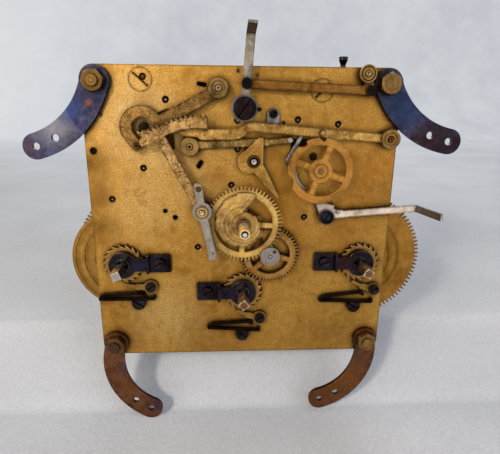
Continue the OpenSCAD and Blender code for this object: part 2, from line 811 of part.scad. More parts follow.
// Barrel with its great wheel at one end and a separate cap at the other; y0 is the depth of
// the great wheel's outer face and s is 1 where the drum runs back from it, else -1
module barrel(p, q, n, leaves, y0, s) {
  span = great_t + drum_len;
  bore_r = winding_r + 0.5 + run_clearance;
  translate([0, y0, 0])
      mirror([0, s < 0 ? 1 : 0, 0]) {
        difference() {
          union() {
            layer(0, great_t)
              at(p)
                polygon(wheel_points(n, pitch_r(p, q, n, leaves),
                  pitch_r(q, p, leaves, n), 0));
            rod(p, great_t, span - drum_wall, drum_r);
            rod(p, -0.4, 0, 9);
          }
          rod(p, great_t, span, drum_in_r);
          rod(p, -1, great_t + 1, bore_r);
          for (g = [drum_r - 4, drum_r - 8.5, drum_r - 12])
            difference() {
              rod(p, -0.01, 0.25, g);
              rod(p, -0.02, 0.26, g - 1);
            }
        }
        difference() {
          union() {
            rod(p, span - drum_wall, span, drum_r);
            rod(p, span, span + 0.5, 8);
          }
          rod(p, span - drum_wall - 1, span + 1, bore_r);
          for (g = [drum_r - 1.6, drum_r - 6, drum_r - 11])
            difference() {
              rod(p, span - 0.25, span + 0.6, g);
              rod(p, span - 0.26, span + 0.7, g - 1.2);
            }
        }
      }
}

// Spiral strip from radius r0 to r1
function spiral(r0, r1, coils, off) =
  [for (i = [0:coils * 24]) polar(r0 + (r1 - r0) * i / (coils * 24) + off, i * 15)];

module mainspring(p, y0, y1) {
  inner = arbor_core_r + 2.4;
  outer = drum_in_r - mainspring_t - 0.2;
  layer(y0, y1)
    at(p)
      polygon(concat(spiral(inner, outer, mainspring_coils, 0),
        [for (i = [mainspring_coils * 24:-1:0])
          spiral(inner, outer, mainspring_coils, mainspring_t)[i]]));
}

// Winding arbor with its spring core inside the drum and its ratchet wheel in front
module winding_arbor(p, y0, y1, turn) {
  difference() {
    union() {
      rod(p, -ratchet_h + 0.1, y0, winding_r);
      rod(p, y0 - drum_wall - great_t, y0, winding_r + 0.5);
      rod(p, y0, y1, arbor_core_r);
      rod(p, y1, y1 + great_t + drum_wall, winding_r + 0.5);
      rod(p, y1, inner_back - 0.3, winding_r);
      rod(p, inner_back - 0.4, back_face + 0.8, drum_pivot_r);
      front(ratchet_h - 0.1, square_top - ratchet_h + 0.1)
        at(p) rotate(turn) square(square_w, center = true);
      layer((y0 + y1) / 2 - 2, (y0 + y1) / 2 + 2)
        at(p) square([2 * arbor_core_r + 1.6, 2], center = true);
    }
    layer((y0 + y1) / 2 - 3, (y0 + y1) / 2 + 3)
      at(p + [-arbor_core_r - 2, -2]) square([2, 4]);
  }
  difference() {
    front(ratchet_h, ratchet_t)
      at(p) polygon(ratchet_points());
    front(ratchet_h - 1, ratchet_t + 2)
      at(p) rotate(turn) square(square_w + 2 * seat_clearance, center = true);
  }
}

// Undercut saw teeth that lean anticlockwise
function ratchet_points() =
  [for (i = [0:ratchet_teeth - 1], s = [[ratchet_r, 0], [ratchet_r - 0.3, 1.2],
    [ratchet_r - ratchet_tooth_h, -1.5], [ratchet_r - 0.8 * ratchet_tooth_h, 4]])
    polar(s[0], 360 / ratchet_teeth * i + s[1])];

// Click: round boss, waisted body and a nose that points at the ratchet
module click(p, c, a) {
  nose = polar(ratchet_r + click_tip_gap + 0.9, bearing([0, 0], c) + a);
  difference() {
    front(ratchet_h, ratchet_t)
      union() {
        at(p + c) circle(r = 3.4);
        strip(p + c, p + c + (nose - c) * 0.55 + [0, -0.6], 3);
        strip(p + c + (nose - c) * 0.5 + [0, -0.6], p + nose, 1.6);
      }
    rod(p + c, -ratchet_h - ratchet_t - 1, 0, click_pivot_r + run_clearance);
  }
}

module strike_barrel() {
  color("gold")
    barrel(strike_barrel_at, strike_second_at, great_teeth, second_leaves, great_back, -1);
}

module strike_mainspring() {
  color("slategray")
    mainspring(strike_barrel_at, drum_front + drum_wall + 0.5, drum_back - 0.5);
}

module strike_winding_arbor() {
  color("dimgray")
    winding_arbor(strike_barrel_at, drum_front + drum_wall + 0.2, drum_back - 0.2, 20);
}

module strike_click() {
  color("goldenrod")
    click(strike_barrel_at, works[0][2], -42);
}

module going_barrel() {
  color("gold")
    barrel(going_barrel_at, going_second_at, great_teeth, second_leaves, great_back, -1);
}

module going_mainspring() {
  color("slategray")
    mainspring(going_barrel_at, drum_front + drum_wall + 0.5, drum_back - 0.5);
}

module going_winding_arbor() {
  color("dimgray")
    winding_arbor(going_barrel_at, drum_front + drum_wall + 0.2, drum_back - 0.2, 35);
}

module going_click() {
  color("goldenrod")
    click(going_barrel_at, works[1][2], -42);
}

module chime_barrel() {
  color("gold")
    barrel(chime_barrel_at, chime_second_at, chime_great_teeth, chime_second_leaves,
      chime_great_front, 1);
}

module chime_mainspring() {
  color("slategray")
    mainspring(chime_barrel_at, chime_drum_front + 0.5,
      chime_drum_front + drum_len - drum_wall - 0.5);
}

module chime_winding_arbor() {
  color("dimgray")
    winding_arbor(chime_barrel_at, chime_drum_front + 0.2,
      chime_drum_front + drum_len - drum_wall - 0.2, 60);
}

module chime_click() {
  color("goldenrod")
    click(chime_barrel_at, works[2][2], -42);
}

module strike_second_wheel() {
  color("gold") {
    arbor(strike_second_at, slow_arbor_r);
    pinion(strike_second_at, strike_barrel_at, second_leaves, great_teeth,
      strike_2_phase, drum_back - 0.6, great_back + 0.6);
    train_wheel(strike_second_at, strike_third_at, strike_second_teeth,
      strike_third_leaves, strike_2_phase, 31.5, 5);
  }
}

module strike_third_wheel() {
  color("gold") {
    arbor(strike_third_at, slow_arbor_r);
    pinion(strike_third_at, strike_second_at, strike_third_leaves, strike_second_teeth,
      strike_3_phase, 30.9, 33.3);
    train_wheel(strike_third_at, gathering_at, strike_third_teeth, gathering_leaves,
      strike_3_phase, 22, 5);
  }
}

// Gathering pallet: a small hub with one finger that lifts the rack a tooth at each turn
module gathering_pallet() {
  difference() {
    front(rack_h, lever_t)
      at(gathering_at)
        union() {
          circle(r = 1.6);
          rotate(235)
            translate([0, -0.6])
              square([3.3, 1.2]);
        }
    rod(gathering_at, -rack_h - lever_t - 1, -rack_h + 1, 0.9 + seat_clearance);
  }
}

module gathering_wheel() {
  color("gold") {
    gathering_pallet();
    rod(gathering_at, -rack_h + 0.2, inner_back - 0.4, slow_arbor_r - run_clearance / 2);
    rod(gathering_at, -rack_h - lever_t - 0.4, -rack_h + 0.2, 0.9);
    rod(gathering_at, inner_back - 0.4, back_face - 0.2, pivot_r);
    pinion(gathering_at, strike_third_at, gathering_leaves, strike_third_teeth,
      gathering_phase, 21.4, 23.8);
    train_wheel(gathering_at, strike_warning_at, gathering_teeth, quick_leaves,
      gathering_phase, 14, 4);
  }
}

module strike_warning_wheel() {
  color("gold") {
    arbor(strike_warning_at, quick_arbor_r);
    pinion(strike_warning_at, gathering_at, quick_leaves, gathering_teeth,
      strike_warning_phase, 13.4, 15.8);
    train_wheel(strike_warning_at, strike_fly_at, strike_warning_teeth, quick_leaves,
      strike_warning_phase, 8, 4);
    rod(strike_warning_at + [9.7, 0], 9, 12.4, 0.5);
  }
}

// Fly: two thin vanes on the quickest arbor of a train
module fly(p, q, n, phase, y0, y1, reach, a) {
  arbor(p, quick_arbor_r);
  pinion(p, q, quick_leaves, n, phase, y0, y0 + 2.4);
  rod(p, y1 - 14, y1, 2);
  layer(y1 - 12.5, y1 - 1)
    at(p)
      rotate(a)
        square([2 * reach, 0.6], center = true);
}

module strike_fly() {
  color("khaki")
    fly(strike_fly_at, strike_warning_at, strike_warning_teeth, strike_fly_phase, 7.4,
      36, 6, 12);
}

module going_second_wheel() {
  color("gold") {
    arbor(going_second_at, slow_arbor_r);
    pinion(going_second_at, going_barrel_at, second_leaves, great_teeth, going_2_phase,
      drum_back - 0.6, great_back + 0.6);
    train_wheel(going_second_at, centre_at, going_second_teeth, centre_leaves,
      going_2_phase, 33.2, 5);
  }
}

module centre_wheel() {
  color("gold") {
    rod(centre_at, -hour_pipe_top - 0.8, -0.2, 1);
    rod(centre_at, -0.2, inner_back - 0.4, slow_arbor_r - run_clearance / 2);
    rod(centre_at, inner_back - 0.4, back_face - 0.2, pivot_r);
    pinion(centre_at, going_second_at, centre_leaves, going_second_teeth, centre_phase,
      32.6, 35);
    train_wheel(centre_at, going_third_at, centre_teeth, quick_leaves, centre_phase,
      36.6, 5);
  }
}

module going_third_wheel() {
  color("gold") {
    arbor(going_third_at, quick_arbor_r);
    pinion(going_third_at, centre_at, quick_leaves, centre_teeth, going_3_phase, 36,
      38.4);
    train_wheel(going_third_at, escape_at, going_third_teeth, quick_leaves,
      going_3_phase, 24, 5);
  }
}

escape_y = 30;

// Escape wheel with thin pointed teeth that lean the way it turns
module escape_wheel() {
  color("gold") {
    arbor(escape_at, quick_arbor_r - 0.1);
    pinion(escape_at, going_third_at, quick_leaves, going_third_teeth, escape_phase,
      23.4, 25.8);
    layer(escape_y, escape_y + 0.9)
      at(escape_at)
        difference() {
          polygon([for (i = [0:escape_teeth - 1], s = [[escape_r, 0],
            [escape_r - 0.05, 1.2], [escape_r - 1.8, 3.2], [escape_r - 1.9, 8.6]])
            polar(s[0], 360 / escape_teeth * i + s[1])]);
          windows(escape_r - 3, 2.6, 4, 1.2, 10);
        }
    rod(escape_at, escape_y - 1, escape_y, 2);
  }
}

// Pallet arbor with the anchor over the escape wheel and the crutch behind the back plate
module pallets() {
  reach = escape_r + 1.1 + 0.35;
  color("slategray") {
    rod(pallet_at, 0.3, inner_front + 0.4, pivot_r);
    rod(pallet_at, inner_front + 0.4, cock_front - 0.3, quick_arbor_r);
    rod(pallet_at, cock_front - 0.4, cock_front + 1.4, pivot_r);
    layer(escape_y - 0.4, escape_y + 1.3)
      union() {
        at(pallet_at) circle(r = 2.6);
        for (a = [45, 135]) {
          strip(pallet_at, escape_at + polar(reach, a), 2.2);
          strip(escape_at + polar(reach, a), escape_at + polar(escape_r + 0.85, a),
            1);
        }
      }
    layer(crutch_y, crutch_y + 1.4)
      union() {
        at(pallet_at) circle(r = 2.4);
        strip(pallet_at, pallet_at - [0, crutch_len], 1.6);
      }
    for (s = [-1.5, 1.5])
      translate([pallet_at.x + s - 0.4, crutch_y, pallet_at.y - crutch_len - 0.8])
        cube([0.8, 9, 1.6]);
    layer(crutch_y, crutch_y + 1.4)
      at(pallet_at - [2, crutch_len + 0.8]) square([4, 1.6]);
  }
}

cock_front = back_face + 8;
cock_t = 2;
crutch_y = back_face + 3.4;
crutch_len = 40;

// Cock that carries the pallet arbor's rear pivot and the split pendulum post
module back_cock() {
  color("goldenrod")
    difference() {
      union() {
        layer(cock_front, cock_front + cock_t)
          strip(pallet_at + [-15, 9], pallet_at + [15, 9], 7);
        layer(cock_front, cock_front + cock_t)
          strip(pallet_at, pallet_at + [0, 9], 7);
        for (s = [-15, 15])
          rod(pallet_at + [s, 9], back_face, cock_front, 3.2);
        rod(pallet_at + [0, 9], cock_front + cock_t, cock_front + 12, 3);
      }
      rod(pallet_at, cock_front - 1, cock_front + 3, pivot_r + run_clearance);
      translate([pallet_at.x - 0.3, cock_front + cock_t + 3, pallet_at.y])
        cube([0.6, 10, 20]);
      for (s = [-15, 15])
        rod(pallet_at + [s, 9], back_face - 1, cock_front + 3, 1.2);
    }
}

module chime_second_wheel() {
  color("gold") {
    rod(chime_second_at, 0.3, inner_front + 0.4, pivot_r);
    rod(chime_second_at, inner_front + 0.4, bracket_y - 0.3,
      slow_arbor_r - run_clearance / 2);
    rod(chime_second_at, bracket_y - 0.4, bracket_y + 1.2, pivot_r);
    pinion(chime_second_at, chime_barrel_at, chime_second_leaves, chime_great_teeth,
      chime_2_phase, chime_great_front - 0.6, chime_drum_front + 0.6);
    train_wheel(chime_second_at, count_at, chime_second_teeth, count_leaves,
      chime_2_phase, chime_2_y, 5);
  }
}

// Drum with one row of lifting pins for each hammer
module chime_drum() {
  y1 = bracket_y - 0.8;
  color("goldenrod")
    difference() {
      union() {
        rod(chime_second_at, back_face + 1, y1, chime_drum_r);
        for (i = [0:hammers - 1], k = [0:4])
          let (a = 72 * k + 18 * ((i * 3) % 4) + 9)
            translate([chime_second_at.x, first_hammer_y + hammer_pitch * i,
              chime_second_at.y])
              rotate([0, -a, 0])
                rotate([0, 90, 0])
                  cylinder(h = chime_drum_r + 1.5, r = 0.7);
      }
      rod(chime_second_at, back_face, y1 + 1, slow_arbor_r + seat_clearance);
      rod(chime_second_at, back_face, back_face + 2, chime_drum_r - 2);
    }
}

module chime_count_arbor() {
  color("gold") {
    rod(count_at, -count_h + 0.2, inner_back - 0.4, slow_arbor_r - run_clearance / 2);
    rod(count_at, -count_h - lever_t - 0.9, -count_h + 0.2, 0.9);
    rod(count_at, inner_back - 0.4, back_face - 0.2, pivot_r);
    pinion(count_at, chime_second_at, count_leaves, chime_second_teeth, count_phase,
      chime_2_y - 0.6, chime_2_y + 1.8);
    train_wheel(count_at, locking_at, count_arbor_teeth, quick_leaves, count_phase, 20,
      5);
  }
}

// Count wheel of the chime: its notches start one, two, three and four tenths of a turn apart
module count_wheel() {
  color("goldenrod")
    difference() {
      union() {
        front(count_h, lever_t)
          at(count_at)
            difference() {
              circle(r = count_r);
              for (n = [[81, 15], [117, 17], [189, 22], [297, 27]])
                polygon([polar(count_r + 1, n[0] - 2),
                  polar(count_r - count_notch, n[0] + 4),
                  polar(count_r - count_notch, n[0] + n[1] - 9),
                  polar(count_r, n[0] + n[1]),
                  polar(count_r + 2, n[0] + n[1] / 2)]);
              windows(11.4, 5.6, 4, 3, 70);
            }
        rod(count_at, -count_h - lever_t - 0.5, -count_h - lever_t, 3);
      }
      rod(count_at, -count_h - lever_t - 1, -count_h + 0.1, 0.9 + seat_clearance);
    }
}

module locking_wheel() {
  color("gold") {
    arbor(locking_at, quick_arbor_r);
    pinion(locking_at, count_at, quick_leaves, count_arbor_teeth, locking_phase, 19.4,
      21.8);
    train_wheel(locking_at, chime_warning_at, locking_teeth, chime_warning_leaves,
      locking_phase, 14, 4);
    rod(locking_at + [13, 0], 15, 17.6, 0.5);
  }
}

module chime_warning_wheel() {
  color("gold") {
    arbor(chime_warning_at, quick_arbor_r);
    pinion(chime_warning_at, locking_at, chime_warning_leaves, locking_teeth,
      chime_warning_phase, 13.4, 15.8);
    train_wheel(chime_warning_at, chime_fly_at, chime_warning_teeth, quick_leaves,
      chime_warning_phase, 9, 4);
  }
}

module chime_fly() {
  color("khaki")
    fly(chime_fly_at, chime_warning_at, chime_warning_teeth, chime_fly_phase, 8.4, 36,
      7.6, -8);
}

// Cannon pinion on the centre arbor, with the four-lobed quarter cam behind the hour wheel
module cannon_pinion() {
  cannon_r = pitch_r(centre_at, minute_at, cannon_teeth, minute_teeth);
  color("goldenrod")
    difference() {
      union() {
        front(cannon_h, lever_t)
          polygon(pinion_points(cannon_teeth, cannon_r, 0));
        front(0.1, hour_h - 0.3)
          circle(r = 3.4);
        front(cannon_h + lever_t, 0.6)
          for (a = [15, 105, 195, 285])
            rotate(a) {
              translate([0, -2]) square([7, 4]);
              translate([7, 0]) circle(r = 2);
            }
        rod(centre_at, -12, -hour_h + 0.3, hour_bore_r - run_clearance);
      }
      rod(centre_at, -13, 0, 1 + seat_clearance);
      rod(centre_at, -0.3, 1, slow_arbor_r + pass_gap);
    }
}

hour_bore_r = 1.6;

// Minute wheel with the pinion that drives the hour wheel
module minute_wheel() {
  minute_r = pitch_r(minute_at, centre_at, minute_teeth, cannon_teeth);
  cannon_r = pitch_r(centre_at, minute_at, cannon_teeth, minute_teeth);
  color("darkgoldenrod")
    difference() {
      union() {
        front(cannon_h, lever_t)
          at(minute_at)
            wheel(minute_teeth, minute_r, cannon_r, minute_phase, 9.7, 4, 3,
              2.6, 225);
        front(cannon_h, hour_h + lever_t + 0.2 - cannon_h)
          at(minute_at)
            polygon(pinion_points(minute_leaves,
              pitch_r(minute_at, centre_at, minute_leaves, hour_teeth),
              minute_phase));
      }
      rod(minute_at, -6, 0, post_foot_r + run_clearance);
    }
}

// Hour snail of twelve steps, with fine turned grooves and a raised edge along the deep step
module hour_snail() {
  h = hour_h + lever_t + 0.05;
  front(h + lever_t - 0.1, 0.35)
    strip(polar(snail_r - 11 * snail_step, 106), polar(snail_r - 1.2, 71.5), 1.5);
  difference() {
    front(h, lever_t)
      difference() {
        polygon(concat([polar(snail_r, 68)], [for (k = [0:11], j = [0:5])
          polar(snail_r - snail_step * k,
            72 + 30 * k + (k == 11 ? 11 : 5.95) * j)]));
        circle(r = 3 + seat_clearance);
      }
    for (g = [5.4, 7.2, 9, 10.8])
      difference() {
        rod(centre_at, -h - lever_t - 1, -h - lever_t + 0.12, g);
        rod(centre_at, -h - lever_t - 2, -h - lever_t + 0.3, g - 0.4);
      }
  }
}

module hour_wheel() {
  hour_r = pitch_r(centre_at, minute_at, hour_teeth, minute_leaves);
  mate = pitch_r(minute_at, centre_at, minute_leaves, hour_teeth);
  color("goldenrod") {
    hour_snail();
    difference() {
      union() {
        front(hour_h, lever_t)
          wheel(hour_teeth, hour_r, mate, hour_phase, 13.5, 6, 4, 2.6, -3);
        rod(centre_at, -hour_pipe_top, -hour_h, hour_pipe_r);
        rod(centre_at, -hour_h - lever_t - 3.6, -hour_h, 3);
      }
      rod(centre_at, -hour_pipe_top - 1, 0, hour_bore_r);
    }
  }
}

// Rack: toothed sector, tapered shoulder and long arm down to its pivot
module rack() {
  root = rack_tip_r - rack_tooth_h;
  inner = root - 4.4;
  first = 86.8;
  last = first + rack_pitch * (rack_teeth - 1);
  color("rosybrown")
    difference() {
      front(rack_h, lever_t)
        at(rack_at)
          union() {
            arc(inner, root, first - 1.4, 128);
            strip(polar(inner + 2.2, 127.5), polar(root - 1.8, 128.6), 3.6);
            for (k = [0:rack_teeth - 1])
              polygon([polar(root - 0.2, first + rack_pitch * (k - 0.5)),
                polar(rack_tip_r, first + rack_pitch * k + 0.35),
                polar(root - 0.2, first + rack_pitch * (k + 0.5))]);
            strip([0, 0], polar(inner + 2, 118), rack_arm_w);
            arc(inner - 2.6, inner + 1, last - 8, 121);
            circle(r = 3.6);
          }
      rod(rack_at, -rack_h - lever_t - 1, -rack_h + 1, post_r + run_clearance);
    }
}

// Tail riveted to the rack, with the pin that drops on the snail
module rack_tail() {
  h = rack_h + lever_t;
  tail_end = [-14.3, -14.6];
  tail_pin = [-14.5, -12.7];
  color("silver")
    difference() {
      union() {
        front(h, lever_t)
          union() {
            strip([-20.5, 18.2], rack_at, 3.6);
            strip(rack_at, tail_end, 3.8);
            at(tail_end - [1.9, 1.9]) square([3.8, 2]);
            at(rack_at) circle(r = 4.4);
          }
        rod(tail_pin, -h - 0.2, -rack_h - 0.1, 0.7);
      }
      rod(rack_at, -h - lever_t - 1, -h + 1, post_r + run_clearance);
      rod([-20.2, 17.2], -h - lever_t - 1, -h + 1, 1.1);
      rod(tail_end + [0.2, 1.6], -h - lever_t - 1, -h + 1, 0.4);
    }
}

// Rack hook: long arm to a C round the gathering arbor, with the stop pin at its end
module rack_hook() {
  c = [-44.4, 43.6];
  pin = [-46.9, 35.8];
  color("sienna")
    difference() {
      union() {
        front(mid_h, lever_t)
          union() {
            at(hook_at) circle(r = 4.5);
            strip(hook_at + [-0.6, -1.1], [-37, 45.6], 5.4);
            at(c) arc(4.2, 9.3, 14, 108);
            at(c) arc(4.2, 9.3, 107, 201);
            strip(c + polar(6.75, 200), pin, 5);
          }
        rod(pin, -rack_h + 0.2, -mid_h - 0.1, 1.3);
      }
      rod(hook_at, -mid_h - lever_t - 1, 0, post_r + run_clearance);
    }
}

// Lifting lever across the top, raised in the middle and hooked under the rack
module lifting_lever() {
  color("goldenrod")
    difference() {
      union() {
        front(mid_h, lever_t)
          union() {
            at(lifting_at) circle(r = 4.4);
            polygon([lifting_at + [0, 1.9], [34.7, 43.7], [3.5, 46.2], [0.5, 45.4],
              [-2.5, 43.5], [-15.5, 43], [-22.9, 43.5], [-30.6, 41.3],
              [-25, 39.9], [-20.2, 39.5], [-18.7, 38.3], [-4.5, 38.5],
              [-1, 39.3], [1.5, 41.6], [4, 42.2], [36, 39.6],
              [36.8, 38.4], [43.4, 38.2], [44.2, 39], lifting_at - [0, 1.9]]);
          }
        rod([34.7, 41.8], -count_h - lever_t, -mid_h - 0.1, 1.2);
      }
      rod(lifting_at, -mid_h - lever_t - 1, 0, post_r + run_clearance);
    }
}

// Warning lever below the lifting lever, with the pin that raises it
module warning_lever() {
  pin = [20.8, 38.3];
  color("darkkhaki")
    difference() {
      union() {
        front(low_h, lever_t)
          union() {
            at(warning_lever_at) circle(r = 4.2);
            strip(warning_lever_at + [2, 0.6], [-6, 36.7], 3.4);
            strip([-6, 36.7], [10, 37.2], 3.6);
            strip([10, 37.2], pin, 2.6);
          }
        rod(pin, -mid_h - lever_t, -low_h - 0.1, 0.8);
      }
      rod(warning_lever_at, -low_h - lever_t - 1, 0, post_r + run_clearance);
    }
}

silence_top = [2.7, 82.6];
link_left = [1.1, 62.2];
link_right = corner - [14.9, 9.7];
silence_tab_len = 10;

// Strike silencing lever: ring on its screw, long upright and a finger tab bent forward
module silence_lever() {
  color("silver")
    difference() {
      union() {
        front(silence_h, lever_t)
          union() {
            at(silence_at) circle(r = 5.8);
            strip(silence_at, silence_at + [6.4, -0.4], 1.8);
            at(silence_at)
              rotate(bearing(silence_at, silence_top))
                translate([0, -silence_lever_w / 2])
                  square([norm(silence_top - silence_at), silence_lever_w]);
          }
        translate([silence_top.x, -silence_h, silence_top.y])
          rotate([-17, 5, 0])
            translate([-silence_lever_w / 2, -silence_tab_len, -lever_t])
              cube([silence_lever_w, silence_tab_len, lever_t]);
      }
      rod(silence_at, -silence_h - lever_t - 1, -silence_h + 1, 2.5 + run_clearance);
      rod(link_left, -silence_h - lever_t - 1, -silence_h + 1, 1 + seat_clearance);
    }
  color("darkslateblue") {
    rod(silence_at + [6.4, -0.4], -silence_h - lever_t - 0.8, -silence_h - lever_t, 0.9);
    rod(link_left, -silence_h - lever_t, -2.4, 1);
    slotted_head(link_left, silence_h + lever_t, silence_h + lever_t + 1.2, 2.2, -35);
  }
}

module silence_link() {
  color("peru")
    difference() {
      front(mid_h, lever_t)
        union() {
          at(link_left) circle(r = 2.3);
          at(link_right) circle(r = 2.3);
          at(link_left)
            rotate(bearing(link_left, link_right))
              translate([0, -link_w / 2])
                square([norm(link_right - link_left), link_w]);
        }
      rod(link_left, -mid_h - lever_t - 1, 0, 1 + run_clearance);
      rod(link_right, -mid_h - lever_t - 1, 0, 1.4);
    }
}

// Crank on the silencing shaft, with the screw that holds the link
module silence_crank() {
  color("goldenrod")
    difference() {
      front(1, lever_t)
        union() {
          at(crank_at) circle(r = 3);
          strip(crank_at, link_right, 4.2);
        }
      rod(crank_at, -1 - lever_t - 1, 0, post_r + run_clearance);
      rod(link_right, -1 - lever_t - 1, 0, 1 + seat_clearance);
    }
  color("darkslateblue") {
    rod(link_right, -mid_h - lever_t - 0.1, -1, 1);
    slotted_head(link_right, mid_h + lever_t + 0.1, mid_h + lever_t + 1.2, 2.2, 0);
  }
}

chime_lever_end = [82.6, 6.8];
chime_tab_len = 18;

// Chime silencing lever: broad stop under the count wheel and a long arm whose end is bent
// forward towards the dial's edge
module chime_silence_lever() {
  color("silver")
    difference() {
      union() {
        front(1, lever_t)
          union() {
            at(chime_silence_at) circle(r = 3.4);
            polygon([[33.6, 9.6], [38.6, 9.6], [42.7, 8.3], [42.3, 5],
              [38.9, 2.6], [35.7, 4]]);
            strip([42.5, 5.3], [46, 4.8], 2.8);
            strip(chime_silence_at + [2, 0.2], [50, 4.4], chime_lever_w);
            at([50, 4.4])
              rotate(bearing([50, 4.4], chime_lever_end))
                translate([0, -chime_lever_w / 2])
                  square([norm(chime_lever_end - [50, 4.4]),
                    chime_lever_w]);
          }
        rod([44.3, 5.5], -1 - lever_t - 0.7, -1, 0.8);
        translate([chime_lever_end.x, -1, chime_lever_end.y])
          rotate([0, -4, 14])
            translate([-lever_t, -chime_tab_len, -chime_lever_w / 2])
              cube([lever_t, chime_tab_len, chime_lever_w]);
      }
      rod(chime_silence_at, -1 - lever_t - 1, 0, post_r + run_clearance);
    }
}

// Release lever: an eye drawn out under the lifting lever, and a long pointed blade
module release_lever() {
  color("darkkhaki")
    difference() {
      front(release_h, lever_t)
        at(release_at)
          union() {
            translate([-1.9, -0.1]) circle(r = 5.2);
            polygon([[-1, -2], [4.2, -2], [4.2, 10.4], [2.2, 10.6], [-4.5, 4]]);
            polygon([[5.4, -11], [11.2, -16.7], [11.7, -16.8], [8.9, -10.4],
              [5.6, -3.8], [3, 0], [-1, -3.2]]);
          }
      rod(release_at, -release_h - lever_t - 1, 0, post_r + run_clearance);
    }
}

// Bracket behind the chime drum that carries the drum's pivot and the hammer arbor
module hammer_frame() {
  color("goldenrod")
    difference() {
      layer(bracket_y, bracket_y + bracket_t)
        union() {
          strip(bracket_feet[0], chime_second_at, 7);
          strip(chime_second_at, hammer_at, 8);
          strip(hammer_at, bracket_feet[1], 7);
        }
      rod(chime_second_at, bracket_y - 1, bracket_y + 3, pivot_r + run_clearance);
      for (p = concat(bracket_feet, [hammer_at]))
        rod(p, bracket_y - 1, bracket_y + 3, bracket_stud_r + seat_clearance);
    }
}

module hammer_1() {
  color("darkgoldenrod") hammer(first_hammer_y);
}

module hammer_2() {
  color("darkgoldenrod") hammer(first_hammer_y + hammer_pitch);
}

module hammer_3() {
  color("darkgoldenrod") hammer(first_hammer_y + 2 * hammer_pitch);
}

module hammer_4() {
  color("darkgoldenrod") hammer(first_hammer_y + 3 * hammer_pitch);
}

// One hammer with its tail on the drum's pins, its hub centred at depth y
module hammer(y) {
  head = hammer_at - [0, hammer_len];
  tail = chime_second_at + polar(chime_drum_r + 3.4, bearing(chime_second_at, hammer_at));
  difference() {
    union() {
      rod(hammer_at, y - 2.4, y + 2.4, 3);
      layer(y - 0.8, y + 0.8)
        union() {
          strip(hammer_at, head, 1.6);
          strip(hammer_at, tail, 1.8);
        }
      translate([head.x - 6.5, y, head.y])
        rotate([0, 90, 0])
          cylinder(h = 13, r = hammer_head_r);
    }
    rod(hammer_at, y - 3, y + 3, hammer_arbor_r + run_clearance);
  }
}

front_plate();
back_plate();
pillars();
pillar_nuts();
upper_lugs();
lower_lugs();
ratchet_bridges();
click_springs();
front_screws();
pivot_bushes();
lever_posts();
spring_tabs();
back_cock();
hammer_frame();
strike_barrel();
strike_mainspring();
strike_winding_arbor();
strike_click();
going_barrel();
going_mainspring();
going_winding_arbor();
going_click();
chime_barrel();
chime_mainspring();
chime_winding_arbor();
chime_click();
strike_second_wheel();
strike_third_wheel();
gathering_wheel();
strike_warning_wheel();
strike_fly();
going_second_wheel();
centre_wheel();
going_third_wheel();
escape_wheel();
pallets();
chime_second_wheel();
chime_drum();
chime_count_arbor();
count_wheel();
locking_wheel();
chime_warning_wheel();
chime_fly();
cannon_pinion();
minute_wheel();
hour_wheel();
rack();
rack_tail();
rack_hook();
lifting_lever();
warning_lever();
silence_lever();
silence_link();
silence_crank();
chime_silence_lever();
release_lever();
hammer_1();
hammer_2();
hammer_3();
hammer_4();
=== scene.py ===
# %% [markdown]
# # Dressing a clock movement
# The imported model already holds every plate, wheel, lever and screw at its real place and size.
# This notebook gives each of them the finish of an old movement: mottled brass, blued and
# rusted steel, worn nickel silver. It starts by loading that model as a fixed frame and keeps
# its outer box, because nothing added later may reach past it.

# %% Load the frame
import math

import bmesh
import bpy
from mathutils import Euler, Matrix, Vector


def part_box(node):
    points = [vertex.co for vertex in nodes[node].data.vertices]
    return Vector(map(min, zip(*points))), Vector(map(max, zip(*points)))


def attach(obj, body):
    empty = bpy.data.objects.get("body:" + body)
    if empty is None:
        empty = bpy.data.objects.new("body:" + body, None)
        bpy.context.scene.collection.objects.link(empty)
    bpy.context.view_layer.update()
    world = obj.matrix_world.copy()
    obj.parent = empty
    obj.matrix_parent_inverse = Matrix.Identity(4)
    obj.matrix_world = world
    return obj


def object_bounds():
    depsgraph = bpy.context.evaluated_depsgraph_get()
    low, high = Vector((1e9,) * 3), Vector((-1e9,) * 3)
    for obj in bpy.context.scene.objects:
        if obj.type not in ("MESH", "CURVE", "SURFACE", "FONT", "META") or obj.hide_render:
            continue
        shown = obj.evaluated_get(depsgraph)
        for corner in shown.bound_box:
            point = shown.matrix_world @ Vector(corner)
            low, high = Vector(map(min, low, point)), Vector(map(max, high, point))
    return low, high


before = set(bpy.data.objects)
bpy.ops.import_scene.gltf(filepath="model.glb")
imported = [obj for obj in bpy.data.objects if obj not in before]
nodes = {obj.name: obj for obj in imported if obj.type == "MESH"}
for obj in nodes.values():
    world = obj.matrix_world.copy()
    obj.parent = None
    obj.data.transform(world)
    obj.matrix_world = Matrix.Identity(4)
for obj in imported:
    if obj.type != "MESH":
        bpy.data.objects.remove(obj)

MM = 0.001
cad_box = [list(corner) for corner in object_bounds()]
print(len(nodes), "parts, box in mm:", [[round(v / MM, 1) for v in c] for c in cad_box])

# %% [markdown]
# ## Camera
# The photograph was taken with a short lens close to the plate, a little left of the hand arbor
# and looking down by about 17 degrees. Turning a camera by eye would never match the plate's four
# corners, so it was fitted: measured points on the plate are turned into pixels until they agree.
# The numbers are written here, because the fit is done once.

